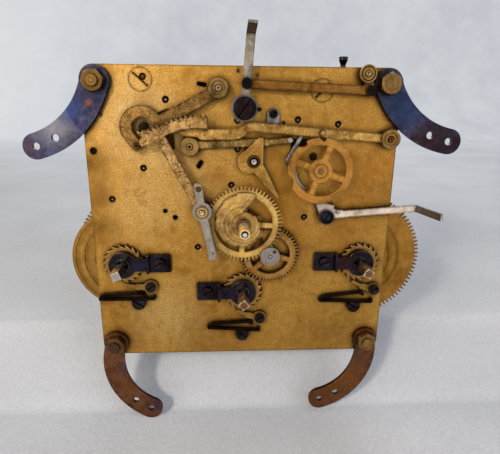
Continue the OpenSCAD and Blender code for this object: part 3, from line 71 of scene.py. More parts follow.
# %% Camera
IMAGE_WIDTH = 500
FOCAL_PIXELS = 440
CAMERA_AT = (-7.786, -200.078, 56.909)
CAMERA_TURN = (73.4645, -0.5904, -2.9925)
lens = bpy.data.cameras.new("camera")
lens.sensor_fit = "HORIZONTAL"
lens.sensor_width = 36
lens.lens = lens.sensor_width * FOCAL_PIXELS / IMAGE_WIDTH
lens.clip_start = 0.01
camera = bpy.data.objects.new("camera", lens)
camera.location = Vector(CAMERA_AT) * MM
camera.rotation_euler = Euler([math.radians(a) for a in CAMERA_TURN])
bpy.context.scene.collection.objects.link(camera)
bpy.context.scene.camera = camera
print("lens", round(lens.lens, 2), "mm")

# %% [markdown]
# ## Nodes as a list of steps
# Every finish is a small tree of shader nodes. It could be wired by hand in the shader editor,
# but thirty finishes that share their steps are easier to keep alike in code. `srgb` turns a web
# colour into what a shader takes, and `add` makes one node and fills its inputs, either with a
# number or with a link from another node.

# %% Colours and nodes
def srgb(text):
    """A web colour as the linear red, green, blue and alpha that a shader takes."""
    parts = [int(text[i:i + 2], 16) / 255 for i in (0, 2, 4)]
    return [p / 12.92 if p <= 0.04045 else ((p + 0.055) / 1.055) ** 2.4 for p in parts] + [1]


def add(tree, kind, inputs=None, **settings):
    """One shader node, its settings made and its inputs filled or linked."""
    made = tree.nodes.new("ShaderNode" + kind)
    for key, value in settings.items():
        setattr(made, key, value)
    for key, value in (inputs or {}).items():
        if isinstance(value, bpy.types.NodeSocket):
            tree.links.new(value, made.inputs[key])
        else:
            made.inputs[key].default_value = value
    return made


print("brass in linear light:", [round(v, 3) for v in srgb("ca9642")])

# %% [markdown]
# ## Mixing and stretching
# Five short helpers make up nearly every step of a finish. `blend` lays one colour over another,
# `fit` stretches a range of values to another one, `noise` is a cloud pattern whose scale is in
# waves per metre, and `times` and `plus` do sums.

# %% Mixing and stretching
def blend(tree, factor, first, second):
    made = add(tree, "Mix", {0: factor, 6: first, 7: second}, data_type="RGBA")
    return made.outputs[2]


def fit(tree, value, low, high, to_low=0.0, to_high=1.0):
    made = add(tree, "MapRange", {"Value": value, "From Min": low, "From Max": high,
                                  "To Min": to_low, "To Max": to_high})
    return made.outputs[0]


def noise(tree, place, scale, detail=4.0, roughness=0.55):
    made = add(tree, "TexNoise", {"Vector": place, "Scale": scale, "Detail": detail,
                                  "Roughness": roughness})
    return made.outputs["Fac"]


def times(tree, first, second):
    return add(tree, "Math", {0: first, 1: second}, operation="MULTIPLY").outputs[0]


def plus(tree, first, second):
    return add(tree, "Math", {0: first, 1: second}, operation="ADD").outputs[0]


print("helpers ready")

# %% [markdown]
# ## Places on the movement
# Turned rings, tarnish and dark pivot holes all lie round the same arbors, posts and pins. Their
# places are written once, as x and z in millimetres from the hand arbor, so that every finish can
# ask for them by name. FRONT and BACK are depths before and behind every piece.

# %% Places on the movement
FRONT, BACK = -30, 80
HAND_ARBOR = (0, 0)
COUNT_ARBOR = (34.6, 25)
CHIME_SECOND = (29, 2.1)
AXES = {
    "strike_barrel": (-57, -20.3), "strike_second_wheel": (-60.1, 10.9),
    "strike_third_wheel": (-45.1, 25.3), "gathering_wheel": (-43.6, 44),
    "strike_warning_wheel": (-34, 55.2), "strike_fly": (-43.3, 64.6),
    "going_barrel": (0, -35.3), "going_second_wheel": (-21.5, -12.5),
    "centre_wheel": HAND_ARBOR, "cannon_pinion": HAND_ARBOR, "hour_wheel": HAND_ARBOR,
    "going_third_wheel": (-5.5, 17.5), "escape_wheel": (-2.6, 34), "pallets": (-2.6, 46.7),
    "minute_wheel": (12.68, -15.72), "chime_barrel": (57, -20.3),
    "chime_second_wheel": CHIME_SECOND, "chime_drum": CHIME_SECOND,
    "chime_count_arbor": COUNT_ARBOR, "count_wheel": COUNT_ARBOR,
    "locking_wheel": (42.5, 45.2), "chime_warning_wheel": (24.2, 47), "chime_fly": (35.5, 60.9),
}
MINUTE_POST = AXES["minute_wheel"]
RACK_POST, RELEASE_POST, CRANK_POST = (-18.8, 6.6), (4.5, 28.9), (53.4, 66.8)
WARNING_POST, LIFTING_POST, HOOK_POST = (-23.9, 35.3), (65.6, 39.2), (-11, 60.2)
SILENCE_POST, CHIME_SILENCE_POST = (0.15, 52), (38.9, 3.2)
HOOK_PIN, WARNING_PIN, TAIL_HOLE, TAB_PIN = (-46.9, 35.8), (20.8, 38.3), (-20.2, 17.2), (6.55, 51.6)
LINK_LEFT, LINK_RIGHT = (1.1, 62.2), (55.1, 59.8)
UPPER_LEFT, UPPER_RIGHT = (-63.3, 62.8), (63.3, 62.8)
LOWER_LEFT, LOWER_RIGHT = (-63.3, -62.8), (63.3, -62.8)
print(len(AXES), "pieces turn on", len(set(AXES.values())), "arbors")

# %% [markdown]
# ## Masks for a place
# Some finishes change from place to place on one solid: a steel arbor runs through a brass wheel,
# and a stain sits round one post. The mesh could be split into more material slots, but its faces
# stay as they are, so the shader finds the place. `reach` measures how far a point lies
# from an axis that runs front to back, `between` is one where a value lies inside two limits and
# nought elsewhere, and `inside` joins both to a ring or disc that ends at two depths.

# %% Masks for a place
def reach(tree, place, x, z):
    away = add(tree, "VectorMath", {0: place, 1: (x * MM, 0, z * MM)}, operation="SUBTRACT")
    flat = add(tree, "VectorMath", {0: away.outputs[0], 1: (1, 0, 1)}, operation="MULTIPLY")
    return add(tree, "VectorMath", {0: flat.outputs[0]}, operation="LENGTH").outputs["Value"]


def between(tree, value, low, high):
    above = add(tree, "Math", {0: value, 1: low * MM}, operation="GREATER_THAN").outputs[0]
    below = add(tree, "Math", {0: value, 1: high * MM}, operation="LESS_THAN").outputs[0]
    return times(tree, above, below)


def inside(tree, place, x, z, inner, outer, front, back):
    depth = add(tree, "SeparateXYZ", {0: place}).outputs["Y"]
    return times(tree, between(tree, reach(tree, place, x, z), inner, outer),
                 between(tree, depth, front, back))


print("place masks ready")

# %% [markdown]
# ## Rings and discs of another colour
# A ring is (x, z, inner radius, outer radius, front y, back y, colour), and a disc is a ring that
# takes in its own middle, so its inner radius lies below nought. `painted` lays such places over
# a colour. A stain is softer: (x, z, radius, strength, colour), with its edge broken up by noise
# so that none is a clean circle. `stained` lays those.

# %% Rings, discs and stains
BELOW_NOUGHT = -1
STAIN_WAVES = 150.0


def ring(at, inner, outer, tint, front=FRONT, back=BACK):
    return (*at, inner, outer, front, back, tint)


def disc(at, radius, tint, front=FRONT, back=BACK):
    return ring(at, BELOW_NOUGHT, radius, tint, front, back)


def painted(tree, place, colour, rings, shade=None):
    for *limits, tint in rings:
        over = shade(tint) if shade else srgb(tint)
        colour = blend(tree, inside(tree, place, *limits), colour, over)
    return colour


def stained(tree, place, colour, stains):
    for x, z, radius, strength, tint in stains:
        ragged = times(tree, noise(tree, place, STAIN_WAVES, 4), radius * MM * 0.9)
        wavy = plus(tree, reach(tree, place, x, z), ragged)
        near = fit(tree, wavy, radius * MM * 1.35, radius * MM * 0.45, 0.0, strength)
        colour = blend(tree, near, colour, srgb(tint))
    return colour


print("a disc on the rack's post:", disc(RACK_POST, 2.2, "e2c488"))

# %% [markdown]
# ## Marks of the lathe and the drawplate
# A wheel is turned on the lathe, which leaves fine rings round its arbor. They are made as noise
# that changes with the distance from that arbor only, wavering a little where the tarnish is. A
# lever is filed along its length, so its grain is noise stretched along one line. Both change the
# colour and also the height, which later feeds the bump.

# %% Rings and grain
RING_WAVES = 1000.0
RING_WAVER = 0.0003
STREAK_WAVES = 2400.0
STREAK_LONG = 0.03


def turned(tree, place, colour, height, centre, rings, clouds, dark):
    far = reach(tree, place, *centre)
    line = add(tree, "CombineXYZ", {"X": far, "Y": times(tree, clouds, RING_WAVER)})
    lathe = noise(tree, line.outputs[0], RING_WAVES, 5, 0.7)
    colour = blend(tree, fit(tree, lathe, 0.42, 0.68, 0.0, rings * 0.7), colour, srgb(dark))
    return colour, plus(tree, height, times(tree, lathe, rings))


def filed(tree, place, colour, height, angle, dark):
    along = add(tree, "Mapping", {"Vector": place, "Rotation": (0, math.radians(angle), 0)})
    long = add(tree, "Mapping", {"Vector": along.outputs[0], "Scale": (STREAK_LONG, 1.0, 1.0)})
    streak = noise(tree, long.outputs[0], STREAK_WAVES, 4, 0.65)
    colour = blend(tree, fit(tree, streak, 0.45, 0.75, 0.0, 0.4), colour, srgb(dark))
    return colour, plus(tree, height, times(tree, streak, 0.5))


print("rings about", round(1000 / RING_WAVES, 1), "mm apart")

# %% [markdown]
# ## Specks, blotches and pits
# Old lacquer fails in spots. Fine dark grit covers everything, sheet brass gets ragged brown
# blotches and between them small glints of bare metal, and deeper pits hold dirt. Each is noise
# at its own scale, cut at a level that leaves only its peaks.

# %% Specks, blotches and pits
SPECK_WAVES, PIT_WAVES = 1400.0, 900.0
BLOTCH_WAVES, GLINT_WAVES = 115.0, 760.0


def spotted(tree, spot, colour, height, dark, light, dirt_and_shade_colour, grit, blotch, pits):
    speck = noise(tree, spot, SPECK_WAVES, 3, 0.6)
    colour = blend(tree, fit(tree, speck, 0.38, 0.62, 0.0, grit), colour, srgb(dark))
    if blotch:
        ragged = noise(tree, spot, BLOTCH_WAVES, 9, 0.72)
        colour = blend(tree, fit(tree, ragged, 0.54, 0.62, 0.0, blotch), colour, srgb(dark))
        glints = fit(tree, noise(tree, spot, GLINT_WAVES, 3, 0.6), 0.66, 0.72, 0.0, 0.8)
        colour = blend(tree, glints, colour, srgb(light))
    hole = fit(tree, noise(tree, spot, PIT_WAVES, 5, 0.75), 0.60, 0.70)
    colour = blend(tree, times(tree, hole, pits), colour, srgb(dirt_and_shade_colour))
    height = plus(tree, height, times(tree, hole, -0.8 * pits))
    return colour, plus(tree, height, times(tree, speck, 0.5))


print("pits about", round(1000 / PIT_WAVES, 1), "mm apart")

# %% [markdown]
# ## Dried grease and painted shadow
# Levers that were greased for decades have a dark outline along their edges, partly grease that
# dried there and partly painted shadow, the contact shadow along each edge, and fine cracks in the
# lacquer. A wide bevel node sees the edges: near one, its rounded normal leaves the face's own. The
# cracks are the borders of Voronoi cells, and noise lets only some of them show.

# %% Dried grease and painted shadow
OUTLINE_WIDTH = 1.2
CRACK_WAVES = 560.0


def leaning(tree, radius, face):
    """A rounded normal and how far it agrees with the face's own, which is one far from edges."""
    rounded = add(tree, "Bevel", {"Radius": radius * MM}, samples=4).outputs[0]
    same = add(tree, "VectorMath", {0: rounded, 1: face}, operation="DOT_PRODUCT")
    return rounded, same.outputs["Value"]


# A dark ragged outline along edges, partly dried grease and partly painted shadow.
def grease_and_shadow_outline(tree, spot, colour, face, rim, dirt_and_shade_colour):
    near_edge = fit(tree, leaning(tree, OUTLINE_WIDTH, face)[1], 0.9995, 0.93, 0.0, rim)
    ragged = fit(tree, noise(tree, spot, 420.0, 4, 0.7), 0.28, 0.48)
    return blend(tree, times(tree, near_edge, ragged), colour, srgb(dirt_and_shade_colour))


def cracked(tree, spot, colour, cracks, dirt_and_shade_colour):
    cell = add(tree, "TexVoronoi", {"Vector": spot, "Scale": CRACK_WAVES},
               feature="DISTANCE_TO_EDGE")
    line = fit(tree, cell.outputs["Distance"], 0.09, 0.02, 0.0, cracks)
    some = fit(tree, noise(tree, spot, 160.0, 3), 0.44, 0.56)
    return blend(tree, times(tree, line, some), colour, srgb(dirt_and_shade_colour))


print("outlines about", OUTLINE_WIDTH, "mm wide")

# %% [markdown]
# ## Old metal
# All the metals of the movement age in the same few ways, so one function builds them. Wide soft
# clouds of tarnish lie over the plain colour and finer mottling breaks them up. Where pieces meet,
# which the ambient occlusion node finds, the colour darkens, partly for dirt and partly as painted
# shade, and the cut sides of a sheet, which face neither front nor back, are darkened as painted
# shade. Rubbed edges shine where nothing is near. Patches are painted early and weather with the
# rest, and sockets last, so that no rubbed edge shows in a hole.

# %% Old metal
# how far the ambient occlusion reaches when it darkens corners for dirt and as painted shade, in mm
DIRT_AND_SHADE_REACH = 3.6
EDGE_WIDTH = 0.22
BUMP_HEIGHT = 0.12


# Three settings darken by place: one darkens corners, partly for dirt and partly as painted shade,
# one darkens cut sides as painted shade, and one draws an outline of dried grease and painted
# shadow.
def old_metal(name, dark, plain, light, rough=(0.36, 0.56), cloud=55.0, mottle=260.0,
              pits=0.5, dirt_and_shade=0.6, edge=0.45, centre=None, rings=0.0, grain=None, stains=(),
              patches=(), sockets=(), grit=0.25, blotch=0.0, side_shade=0.5, rim=0.0, cracks=0.0,
              metal=1.0, dirt_and_shade_colour="2a1a0a", edge_colour=None, bump=0.35, seed=0.0,
              cloud_low=0.42, cloud_high=0.66):
    material = bpy.data.materials.new(name)
    material.use_nodes = True
    tree = material.node_tree
    shader = tree.nodes["Principled BSDF"]
    shader.inputs["Metallic"].default_value = metal
    place = add(tree, "TexCoord").outputs["Object"]
    shifted = add(tree, "Mapping", {"Vector": place, "Location": (seed, seed * 0.7, -seed)})
    spot = shifted.outputs[0]
    face = add(tree, "NewGeometry").outputs["Normal"]

    # Tarnish and mottling
    clouds = fit(tree, noise(tree, spot, cloud, 5), cloud_low, cloud_high)
    mottling = fit(tree, noise(tree, spot, mottle, 8, 0.7), 0.40, 0.68)
    colour = blend(tree, clouds, srgb(plain), srgb(dark))
    colour = blend(tree, times(tree, mottling, 0.55), colour, srgb(light))
    gloss = plus(tree, times(tree, clouds, 0.5), times(tree, mottling, 0.5))
    height = times(tree, mottling, 0.25)

    # Stains, other metals in the same solid, marks of the tool, and spots
    colour = stained(tree, place, colour, stains)
    colour = painted(tree, place, colour, patches,
                     lambda tint: blend(tree, times(tree, mottling, 0.4), srgb(tint), srgb(dark)))
    if centre is not None:
        colour, height = turned(tree, place, colour, height, centre, rings, clouds, dark)
    if grain is not None:
        colour, height = filed(tree, place, colour, height, grain, dark)
    colour, height = spotted(tree, spot, colour, height, dark, light, dirt_and_shade_colour,
                             grit, blotch, pits)

    # Dirt and painted shade in corners, painted shade on cut sides, an outline of dried grease and
    # painted shadow, and rubbed edges
    # painted shade: cut sides, which face neither front nor back, are darkened
    facing = add(tree, "Math", {0: add(tree, "SeparateXYZ", {0: face}).outputs["Y"]},
                 operation="ABSOLUTE").outputs[0]
    colour = blend(tree, fit(tree, facing, 0.75, 0.3, 0.0, side_shade), colour, srgb(dirt_and_shade_colour))
    # corners and gaps between pieces are darkened, partly for dirt and partly as painted shade
    open_to = add(tree, "AmbientOcclusion", {"Distance": DIRT_AND_SHADE_REACH * MM}, samples=6).outputs["AO"]
    colour = blend(tree, fit(tree, open_to, 0.94, 0.5, 0.0, dirt_and_shade), colour, srgb(dirt_and_shade_colour))
    rounded, same = leaning(tree, EDGE_WIDTH, face)
    # a dark outline along edges, partly dried grease and partly painted shadow
    if rim:
        colour = grease_and_shadow_outline(tree, spot, colour, face, rim, dirt_and_shade_colour)
    if cracks:
        colour = cracked(tree, spot, colour, cracks, dirt_and_shade_colour)
    worn = times(tree, fit(tree, same, 0.985, 0.86, 0.0, edge), fit(tree, open_to, 0.45, 0.8))
    colour = blend(tree, times(tree, worn, mottling), colour, srgb(edge_colour or light))
    colour = painted(tree, place, colour, sockets)

    tree.links.new(colour, shader.inputs["Base Color"])
    tree.links.new(fit(tree, gloss, 0.1, 0.9, rough[0], rough[1]), shader.inputs["Roughness"])
    bumped = add(tree, "Bump", {"Height": height, "Strength": bump,
                                "Distance": BUMP_HEIGHT * MM, "Normal": rounded})
    tree.links.new(bumped.outputs[0], shader.inputs["Normal"])
    return material


def dress(material, *names):
    for name in names:
        nodes[name].material_slots[0].material = material
    print(material.name, "on", ", ".join(names))


print("old metal ready")

# %% [markdown]
# ## Stains of the front plate
# The front plate is sheet brass that has gone golden tan in the middle and brown at the edges,
# with dark stains round the posts that were oiled most. One noise pattern would put them
# anywhere, so each is a soft spot at the place where such a plate shows it. Later spots lie over
# earlier ones.

# %% Stains of the front plate
PLATE_STAINS = [
    # wide tones of the sheet
    (-36, 30, 40, 0.4, "e0c084"), (-48, 50, 28, 0.5, "cfbd88"), (-62, 62, 14, 0.45, "a58448"),
    (-48, 5, 24, 0.4, "e2c080"), (-38, -48, 26, 0.5, "e6c988"), (10, 66, 22, 0.4, "946629"),
    (-68, 12, 10, 0.7, "583a14"), (16, 8, 19, 0.75, "8e500c"), (60, 30, 26, 0.5, "ae6818"),
    (24, -8, 14, 0.5, "9a5c14"), (50, 4, 18, 0.4, "b0701e"), (-34, 62, 16, 0.25, "a67a36"),
    # old oil round the levers' posts and the train's pivots
    (14, 33, 8, 0.7, "6a4414"), (26, 30, 7, 0.7, "744612"), (20, 16, 8, 0.6, "744614"),
    (-12, 22, 8, 0.6, "8a5216"), (-20, 30, 6, 0.6, "684214"), (-14, 44, 8, 0.5, "8a5a1e"),
    (-50, 45, 7, 0.4, "7a5222"), (-68, -40, 7, 0.5, "70501f"), (48, 62, 16, 0.4, "9c6a28"),
    (44, -6, 14, 0.3, "a46c26"),
    # the handled left edge
    (-67, -2, 13, 0.8, "523512"), (-68, 28, 13, 0.9, "4c3110"), (-69, 44, 8, 0.8, "4c3110"),
    (-60, -58, 16, 0.4, "8a6128"), (-64, 14, 9, 0.5, "6e4e22"), (-52, 22, 8, 0.3, "a87c3a"),
    # browned lower and right edges, and the ground behind the wheels
    (-10, -64, 30, 0.4, "8a6230"), (42, -60, 26, 0.4, "86602a"), (68, 8, 20, 0.45, "8a6128"),
    (52, 52, 22, 0.45, "9a6422"), (-19, 7, 10, 0.6, "50330f"), (12, 22, 20, 0.5, "95631f"),
    (28, 44, 16, 0.5, "8f5a1c"), (48, 26, 16, 0.35, "9c6a28"), (-57, -20, 18, 0.3, "8a6128"),
    (0, -35, 18, 0.3, "8a6128"), (57, -20, 18, 0.35, "86592a"), (-30, 44, 12, 0.5, "7e551e"),
    (62, 64, 12, 0.5, "5d3d16"), (-44, 54, 9, 0.4, "7e5a24"), (8, 60, 12, 0.35, "92642a"),
]
print(len(PLATE_STAINS), "stains")

# %% [markdown]
# ## The plates
# The two large bushes can be turned to set the depth of the flies, so a dark line runs round
# each. Pivot holes and their oil sinks are dark inside. The back plate is duller. Its hidden inner
# face, where only the holes of the front plate show it, is painted dark brown as painted shade, and
# a near-black disc behind the hook's slot is a painted shadow.

# %% The plates
BUSHES = [(-44.3, 63.5), (34.5, 59.7)]
SMALL_HOLE = (-66.6, 33)
SLOT_SHADOW_AT = (-20.7, 61.8)
BACK_PLATE_FACE = 40
HOLE_DEPTH = 1.5
PIVOTED = ("strike_second_wheel", "strike_third_wheel", "strike_warning_wheel", "strike_fly",
           "going_second_wheel", "going_third_wheel", "escape_wheel", "pallets",
           "chime_second_wheel", "locking_wheel", "chime_warning_wheel", "chime_fly")
plate_brass = old_metal(
    "plate_brass", "8f6224", "ca9642", "e4ba66", rough=(0.4, 0.58), cloud=32, pits=0.65,
    dirt_and_shade=1.0, grit=0.6, blotch=0.45, bump=0.5, stains=PLATE_STAINS, dirt_and_shade_colour="2a1706",
    side_shade=0.6, rim=0.7, patches=[ring(at, 4.8, 5.05, "6a4a1e") for at in BUSHES],
    sockets=[disc(AXES[name], 1.5, "22160b", back=HOLE_DEPTH) for name in PIVOTED]
    + [disc(SMALL_HOLE, 1.7, "1c1209", 0.1, HOLE_DEPTH)])
back_brass = old_metal(
    "back_plate_brass", "7d5722", "b98c3c", "d2aa5a", rough=(0.42, 0.6), cloud=32, pits=0.35,
    dirt_and_shade=0.6, grit=0.4, seed=0.3,
    # painted shade: the hidden inner face of the back plate is darkened
    patches=[disc(HAND_ARBOR, 200, "3c2a14", BACK_PLATE_FACE - 0.2, BACK_PLATE_FACE + 0.2)],
    # painted shadow: a near-black disc on the back plate behind the hook's slot
    sockets=[disc(SLOT_SHADOW_AT, 4, "0c0705", BACK_PLATE_FACE - 0.5, BACK_PLATE_FACE + 1)])
dress(plate_brass, "front_plate", "pivot_bushes")
dress(back_brass, "back_plate")

# %% [markdown]
# ## Wheels of the trains
# Wheels are cut from hard brass and turned on the lathe. The rings need each wheel's own centre,
# so every wheel gets its own copy of the finish. An arbor and its pinion are steel but one solid
# with the wheel, so all that is narrow and lies outside the wheel's own thickness is painted
# grey. Each number is the depth at which the brass wheel starts. The pivot's end is bright in a
# dark hole.

# %% Wheels of the trains
STEEL = "77716a"
PINION, ARBOR, PIVOT = 6.5, 1.9, 0.45
WHEEL_DEEP = 1.9
PLATE_INSIDE = 2.5
WHEEL_STARTS = {
    "strike_second_wheel": 31.5, "strike_third_wheel": 22, "gathering_wheel": 14,
    "strike_warning_wheel": 8, "going_second_wheel": 33.2, "centre_wheel": 36.6,
    "going_third_wheel": 24, "escape_wheel": 30, "chime_second_wheel": 31,
    "chime_count_arbor": 20, "locking_wheel": 14, "chime_warning_wheel": 9,
}
for step, (name, start) in enumerate(WHEEL_STARTS.items()):
    at = AXES[name]
    dress(old_metal(
        name + "_finish", "7a5420", "b88a40", "d8ae62", rough=(0.34, 0.52), centre=at, rings=0.5,
        pits=0.3, seed=0.11 * step,
        patches=[disc(at, PINION, STEEL, PLATE_INSIDE, start - 0.1),
                 disc(at, PINION, STEEL, start + WHEEL_DEEP), disc(at, ARBOR, STEEL),
                 disc(at, PIVOT, "807674", back=HOLE_DEPTH), disc(at, ARBOR, "f4f4f8", back=-14)],
        sockets=[ring(at, PIVOT, ARBOR, "1e140c", -2, HOLE_DEPTH),
                 disc(AXES["gathering_wheel"], 2.6, "2a1e14", -12, -2)]), name)

# %% [markdown]
# ## Barrels, motion work and flies
# These are turned as well, and each has a brass of its own tone, so plain and light colours are
# given for each. The hour wheel is the brightest, because hands and fingers rub it. It also
# carries the hour pipe, whose brass tip and duller collar are painted as rings at two depths.

# %% Barrels, motion work and flies
TURNED_TONES = {
    "strike_barrel": ("a87c38", "cfa054"), "chime_drum": ("b88a40", "d8ae62"),
    "going_barrel": ("b48a48", "cfa054"), "cannon_pinion": ("b98c40", "d8ae62"),
    "chime_barrel": ("bd8636", "d8a450"), "hour_wheel": ("ffcb66", "ffe094"),
    "minute_wheel": ("c89048", "e8bc78"), "count_wheel": ("eaa048", "f4ba64"),
    "strike_fly": ("a98245", "cfa868"), "chime_fly": ("a98245", "cfa868"),
}
HOUR_PIPE = [ring(HAND_ARBOR, 1.4, 2.4, "eccb86", back=-14.2),
             ring(HAND_ARBOR, 1.4, 3.4, "b2b5a0", -14.2, -9.2),
             ring(HAND_ARBOR, 1.4, 2.35, "5a4a30", -12.4, -12)]
for step, (name, (plain, light)) in enumerate(TURNED_TONES.items()):
    at = AXES[name]
    holes = HOUR_PIPE if name == "hour_wheel" else ()
    if "fly" in name:
        holes = [disc(at, ARBOR, "5a3c1c", back=HOLE_DEPTH)]
    dress(old_metal(
        name + "_finish", "84581f", plain, light, rough=(0.32, 0.5), centre=at, rings=0.85,
        pits=0.35, seed=0.17 * step, grit=0.3, side_shade=0.75, rim=0.6, edge=0.15,
        dirt_and_shade_colour="241607", metal=0.75 if name == "hour_wheel" else 1.0,
        sockets=holes), name)

# %% [markdown]
# ## Winding arbors
# A winding arbor is steel with a brass ratchet wheel on it. Both are one node, so the ratchet is
# found by its depth and by lying outside the square. A key keeps the rim of the square's end
# bright, and on two of the three the middle has gone a little rusty.

# %% Winding arbors
SQUARE_END = -16.9
TIPS = {"strike": "c4bab0", "going": "a0643c", "chime": "9c6844"}
for train, tip in TIPS.items():
    at = AXES[train + "_barrel"]
    dress(old_metal(
        train + "_winding_steel", "3a3028", "989078", "e6dccc", pits=0.8, rough=(0.24, 0.42),
        dirt_and_shade_colour="1a120c", side_shade=0.3, edge=1.0,
        patches=[ring(at, 3.2, 12, "c8964a", -1.7, -0.1), disc(at, 1.75, tip, back=SQUARE_END),
                 ring(at, 1.75, 3, "d8cebe", back=SQUARE_END)]), train + "_winding_arbor")

# %% [markdown]
# ## Mainsprings and clicks
# The springs lie oiled in their barrels, so they stay dark and smooth. The clicks are brass
# pawls that sit in the dirt round the ratchets, and one duller finish serves all three.

# %% Mainsprings and clicks
dress(old_metal("spring_steel", "2c2a2a", "56545a", "86868c", pits=0.3, rough=(0.26, 0.4)),
      "strike_mainspring", "going_mainspring", "chime_mainspring")
dress(old_metal("click_brass", "5b3f1a", "a27a3a", "c9a05a", pits=0.4),
      "strike_click", "going_click", "chime_click")

# %% [markdown]
# ## Lifting, warning and release levers
# The strike work mixes brass levers of different ages, so each has its own tone. The lifting
# lever is the brightest and is grained along its length. The warning lever is brown and speckled,
# with dark grease near the middle. The release lever was filed bright at its edges. A dark line
# round each boss is the gap to its post.

# %% Lifting, warning and release levers
GAP = "1e140c"
dress(old_metal(
    "lifting_brass", "6a4216", "f0b656", "ffda8c", pits=1.0, grain=4, grit=0.5, blotch=0.7,
    side_shade=0.9, rim=0.85, edge=0.1, dirt_and_shade_colour="24170a",
    stains=[(-30, 42, 6, 0.4, "7a5a2c"), (4, 40, 5, 0.4, "8a6226")],
    sockets=[ring(LIFTING_POST, 2.25, 2.9, GAP),
             ring(LIFTING_POST, 3.5, 3.8, "3a2814")]), "lifting_lever")
dress(old_metal(
    "warning_brass", "4e3818", "d0a252", "ecc67c", pits=1.0, grit=0.6, blotch=0.8,
    rough=(0.42, 0.62), side_shade=0.9, rim=0.9, edge=0.1, dirt_and_shade_colour="1e1409",
    stains=[(-6, 35.6, 3.4, 0.7, "2c1f10"), (3, 36, 4, 0.5, "3a2a16"),
            (15, 37, 5, 0.5, "4a3a24")],
    sockets=[ring(WARNING_POST, 1.9, 2.4, GAP), disc(WARNING_PIN, 1.1, "a29b92")]),
    "warning_lever")
dress(old_metal(
    "release_brass", "7a5220", "c08c3c", "e8be76", pits=0.7, grit=0.5, rough=(0.38, 0.58),
    side_shade=0.1, edge=1.0, edge_colour="ffe6ac",
    sockets=[ring(RELEASE_POST, 2.2, 3.1, "543c1e")]), "release_lever")

# %% [markdown]
# ## Rack, tail and hook
# The rack is the palest piece, pitted and cracked all over under its lacquer. Its tail is nickel
# silver with a hole through it. The hook is brown bronze, and the pin that drops into the rack's
# teeth is a dark dot with a darker ring.

# %% Rack, tail and hook
dress(old_metal(
    "rack_brass", "5e3a18", "e2b066", "f6d092", pits=1.0, mottle=420, grit=0.4, blotch=0.6,
    dirt_and_shade_colour="2c1a0c", side_shade=0.9, rim=0.9, cracks=0.95, edge=0.1,
    stains=[(-24, 24, 4, 0.5, "5a3c1e"), (-31, 34, 4, 0.35, "7a5630"),
            (-21, 14, 4, 0.7, "4a3018")]), "rack")
dress(old_metal(
    "tail_silver", "6e6458", "b4a898", "d6cbbc", pits=0.6, rough=(0.34, 0.52),
    dirt_and_shade_colour="2b241d", grit=0.4, rim=0.35,
    sockets=[disc(TAIL_HOLE, 1.3, "14100d")]), "rack_tail")
dress(old_metal(
    "hook_bronze", "402c12", "a0763c", "cca262", pits=1.0, grit=0.7, blotch=0.8,
    rough=(0.42, 0.62), side_shade=0.9, rim=0.95, edge=0.1, dirt_and_shade_colour="1a1108",
    sockets=[ring(HOOK_POST, 2.2, 2.9, GAP), disc(HOOK_PIN, 0.7, "160e08"),
             ring(HOOK_PIN, 1.15, 1.5, "24180c")]), "rack_hook")

# %% [markdown]
# ## Silencing work
# A nickel silver lever, a long brass link and a crank silence the strike, and a second nickel
# silver lever the chime. Their screws are black steel, but belong to the levers' solids, so they
# are painted as discs. The chime lever has spent its life in grease: its finish is less metallic,
# which keeps its pale skin from mirroring the room.

# %% Silencing work
BLACK = "1c1716"
LINK_SCREW = 2.35
dress(old_metal(
    "silence_silver", "6e6050", "b4a48e", "e6dac6", pits=0.6, rough=(0.28, 0.48),
    dirt_and_shade_colour="2b241d", grit=0.35, rim=0.6,
    sockets=[disc(LINK_LEFT, LINK_SCREW, BLACK), disc(TAB_PIN, 1.1, BLACK, back=-5.3)]),
    "silence_lever")
dress(old_metal(
    "link_brass", "482a0e", "94642a", "bc8842", blotch=0.5, pits=0.7, grain=2, side_shade=0.9,
    rim=0.85, edge=0.1, dirt_and_shade_colour="241408"), "silence_link")
dress(old_metal(
    "crank_brass", "5a3d18", "8f672f", "b58a4a", pits=0.6,
    sockets=[disc(LINK_RIGHT, LINK_SCREW, BLACK)]), "silence_crank")
dress(old_metal(
    "chime_lever_silver", "8c7660", "e6d2be", "f8e8d6", pits=1.0, mottle=360,
    rough=(0.36, 0.55), dirt_and_shade_colour="281c12", edge=0.1, grit=0.3, side_shade=0.9, rim=0.95,
    metal=0.45), "chime_silence_lever")
dress(old_metal(
    "tab_silver", "6e6860", "c4bcb4", "ece6de", pits=0.6, rough=(0.3, 0.5), rim=0.5,
    side_shade=0.6), "spring_tabs")

# %% [markdown]
# ## Posts
# The levers turn on brass posts with a brown skin. Each post's head is turned with one or two
# fine lines round a small centre mark, which here are dark rings painted last. The disc on the
# minute wheel's post is steel and has two holes, through which the wheel shows.

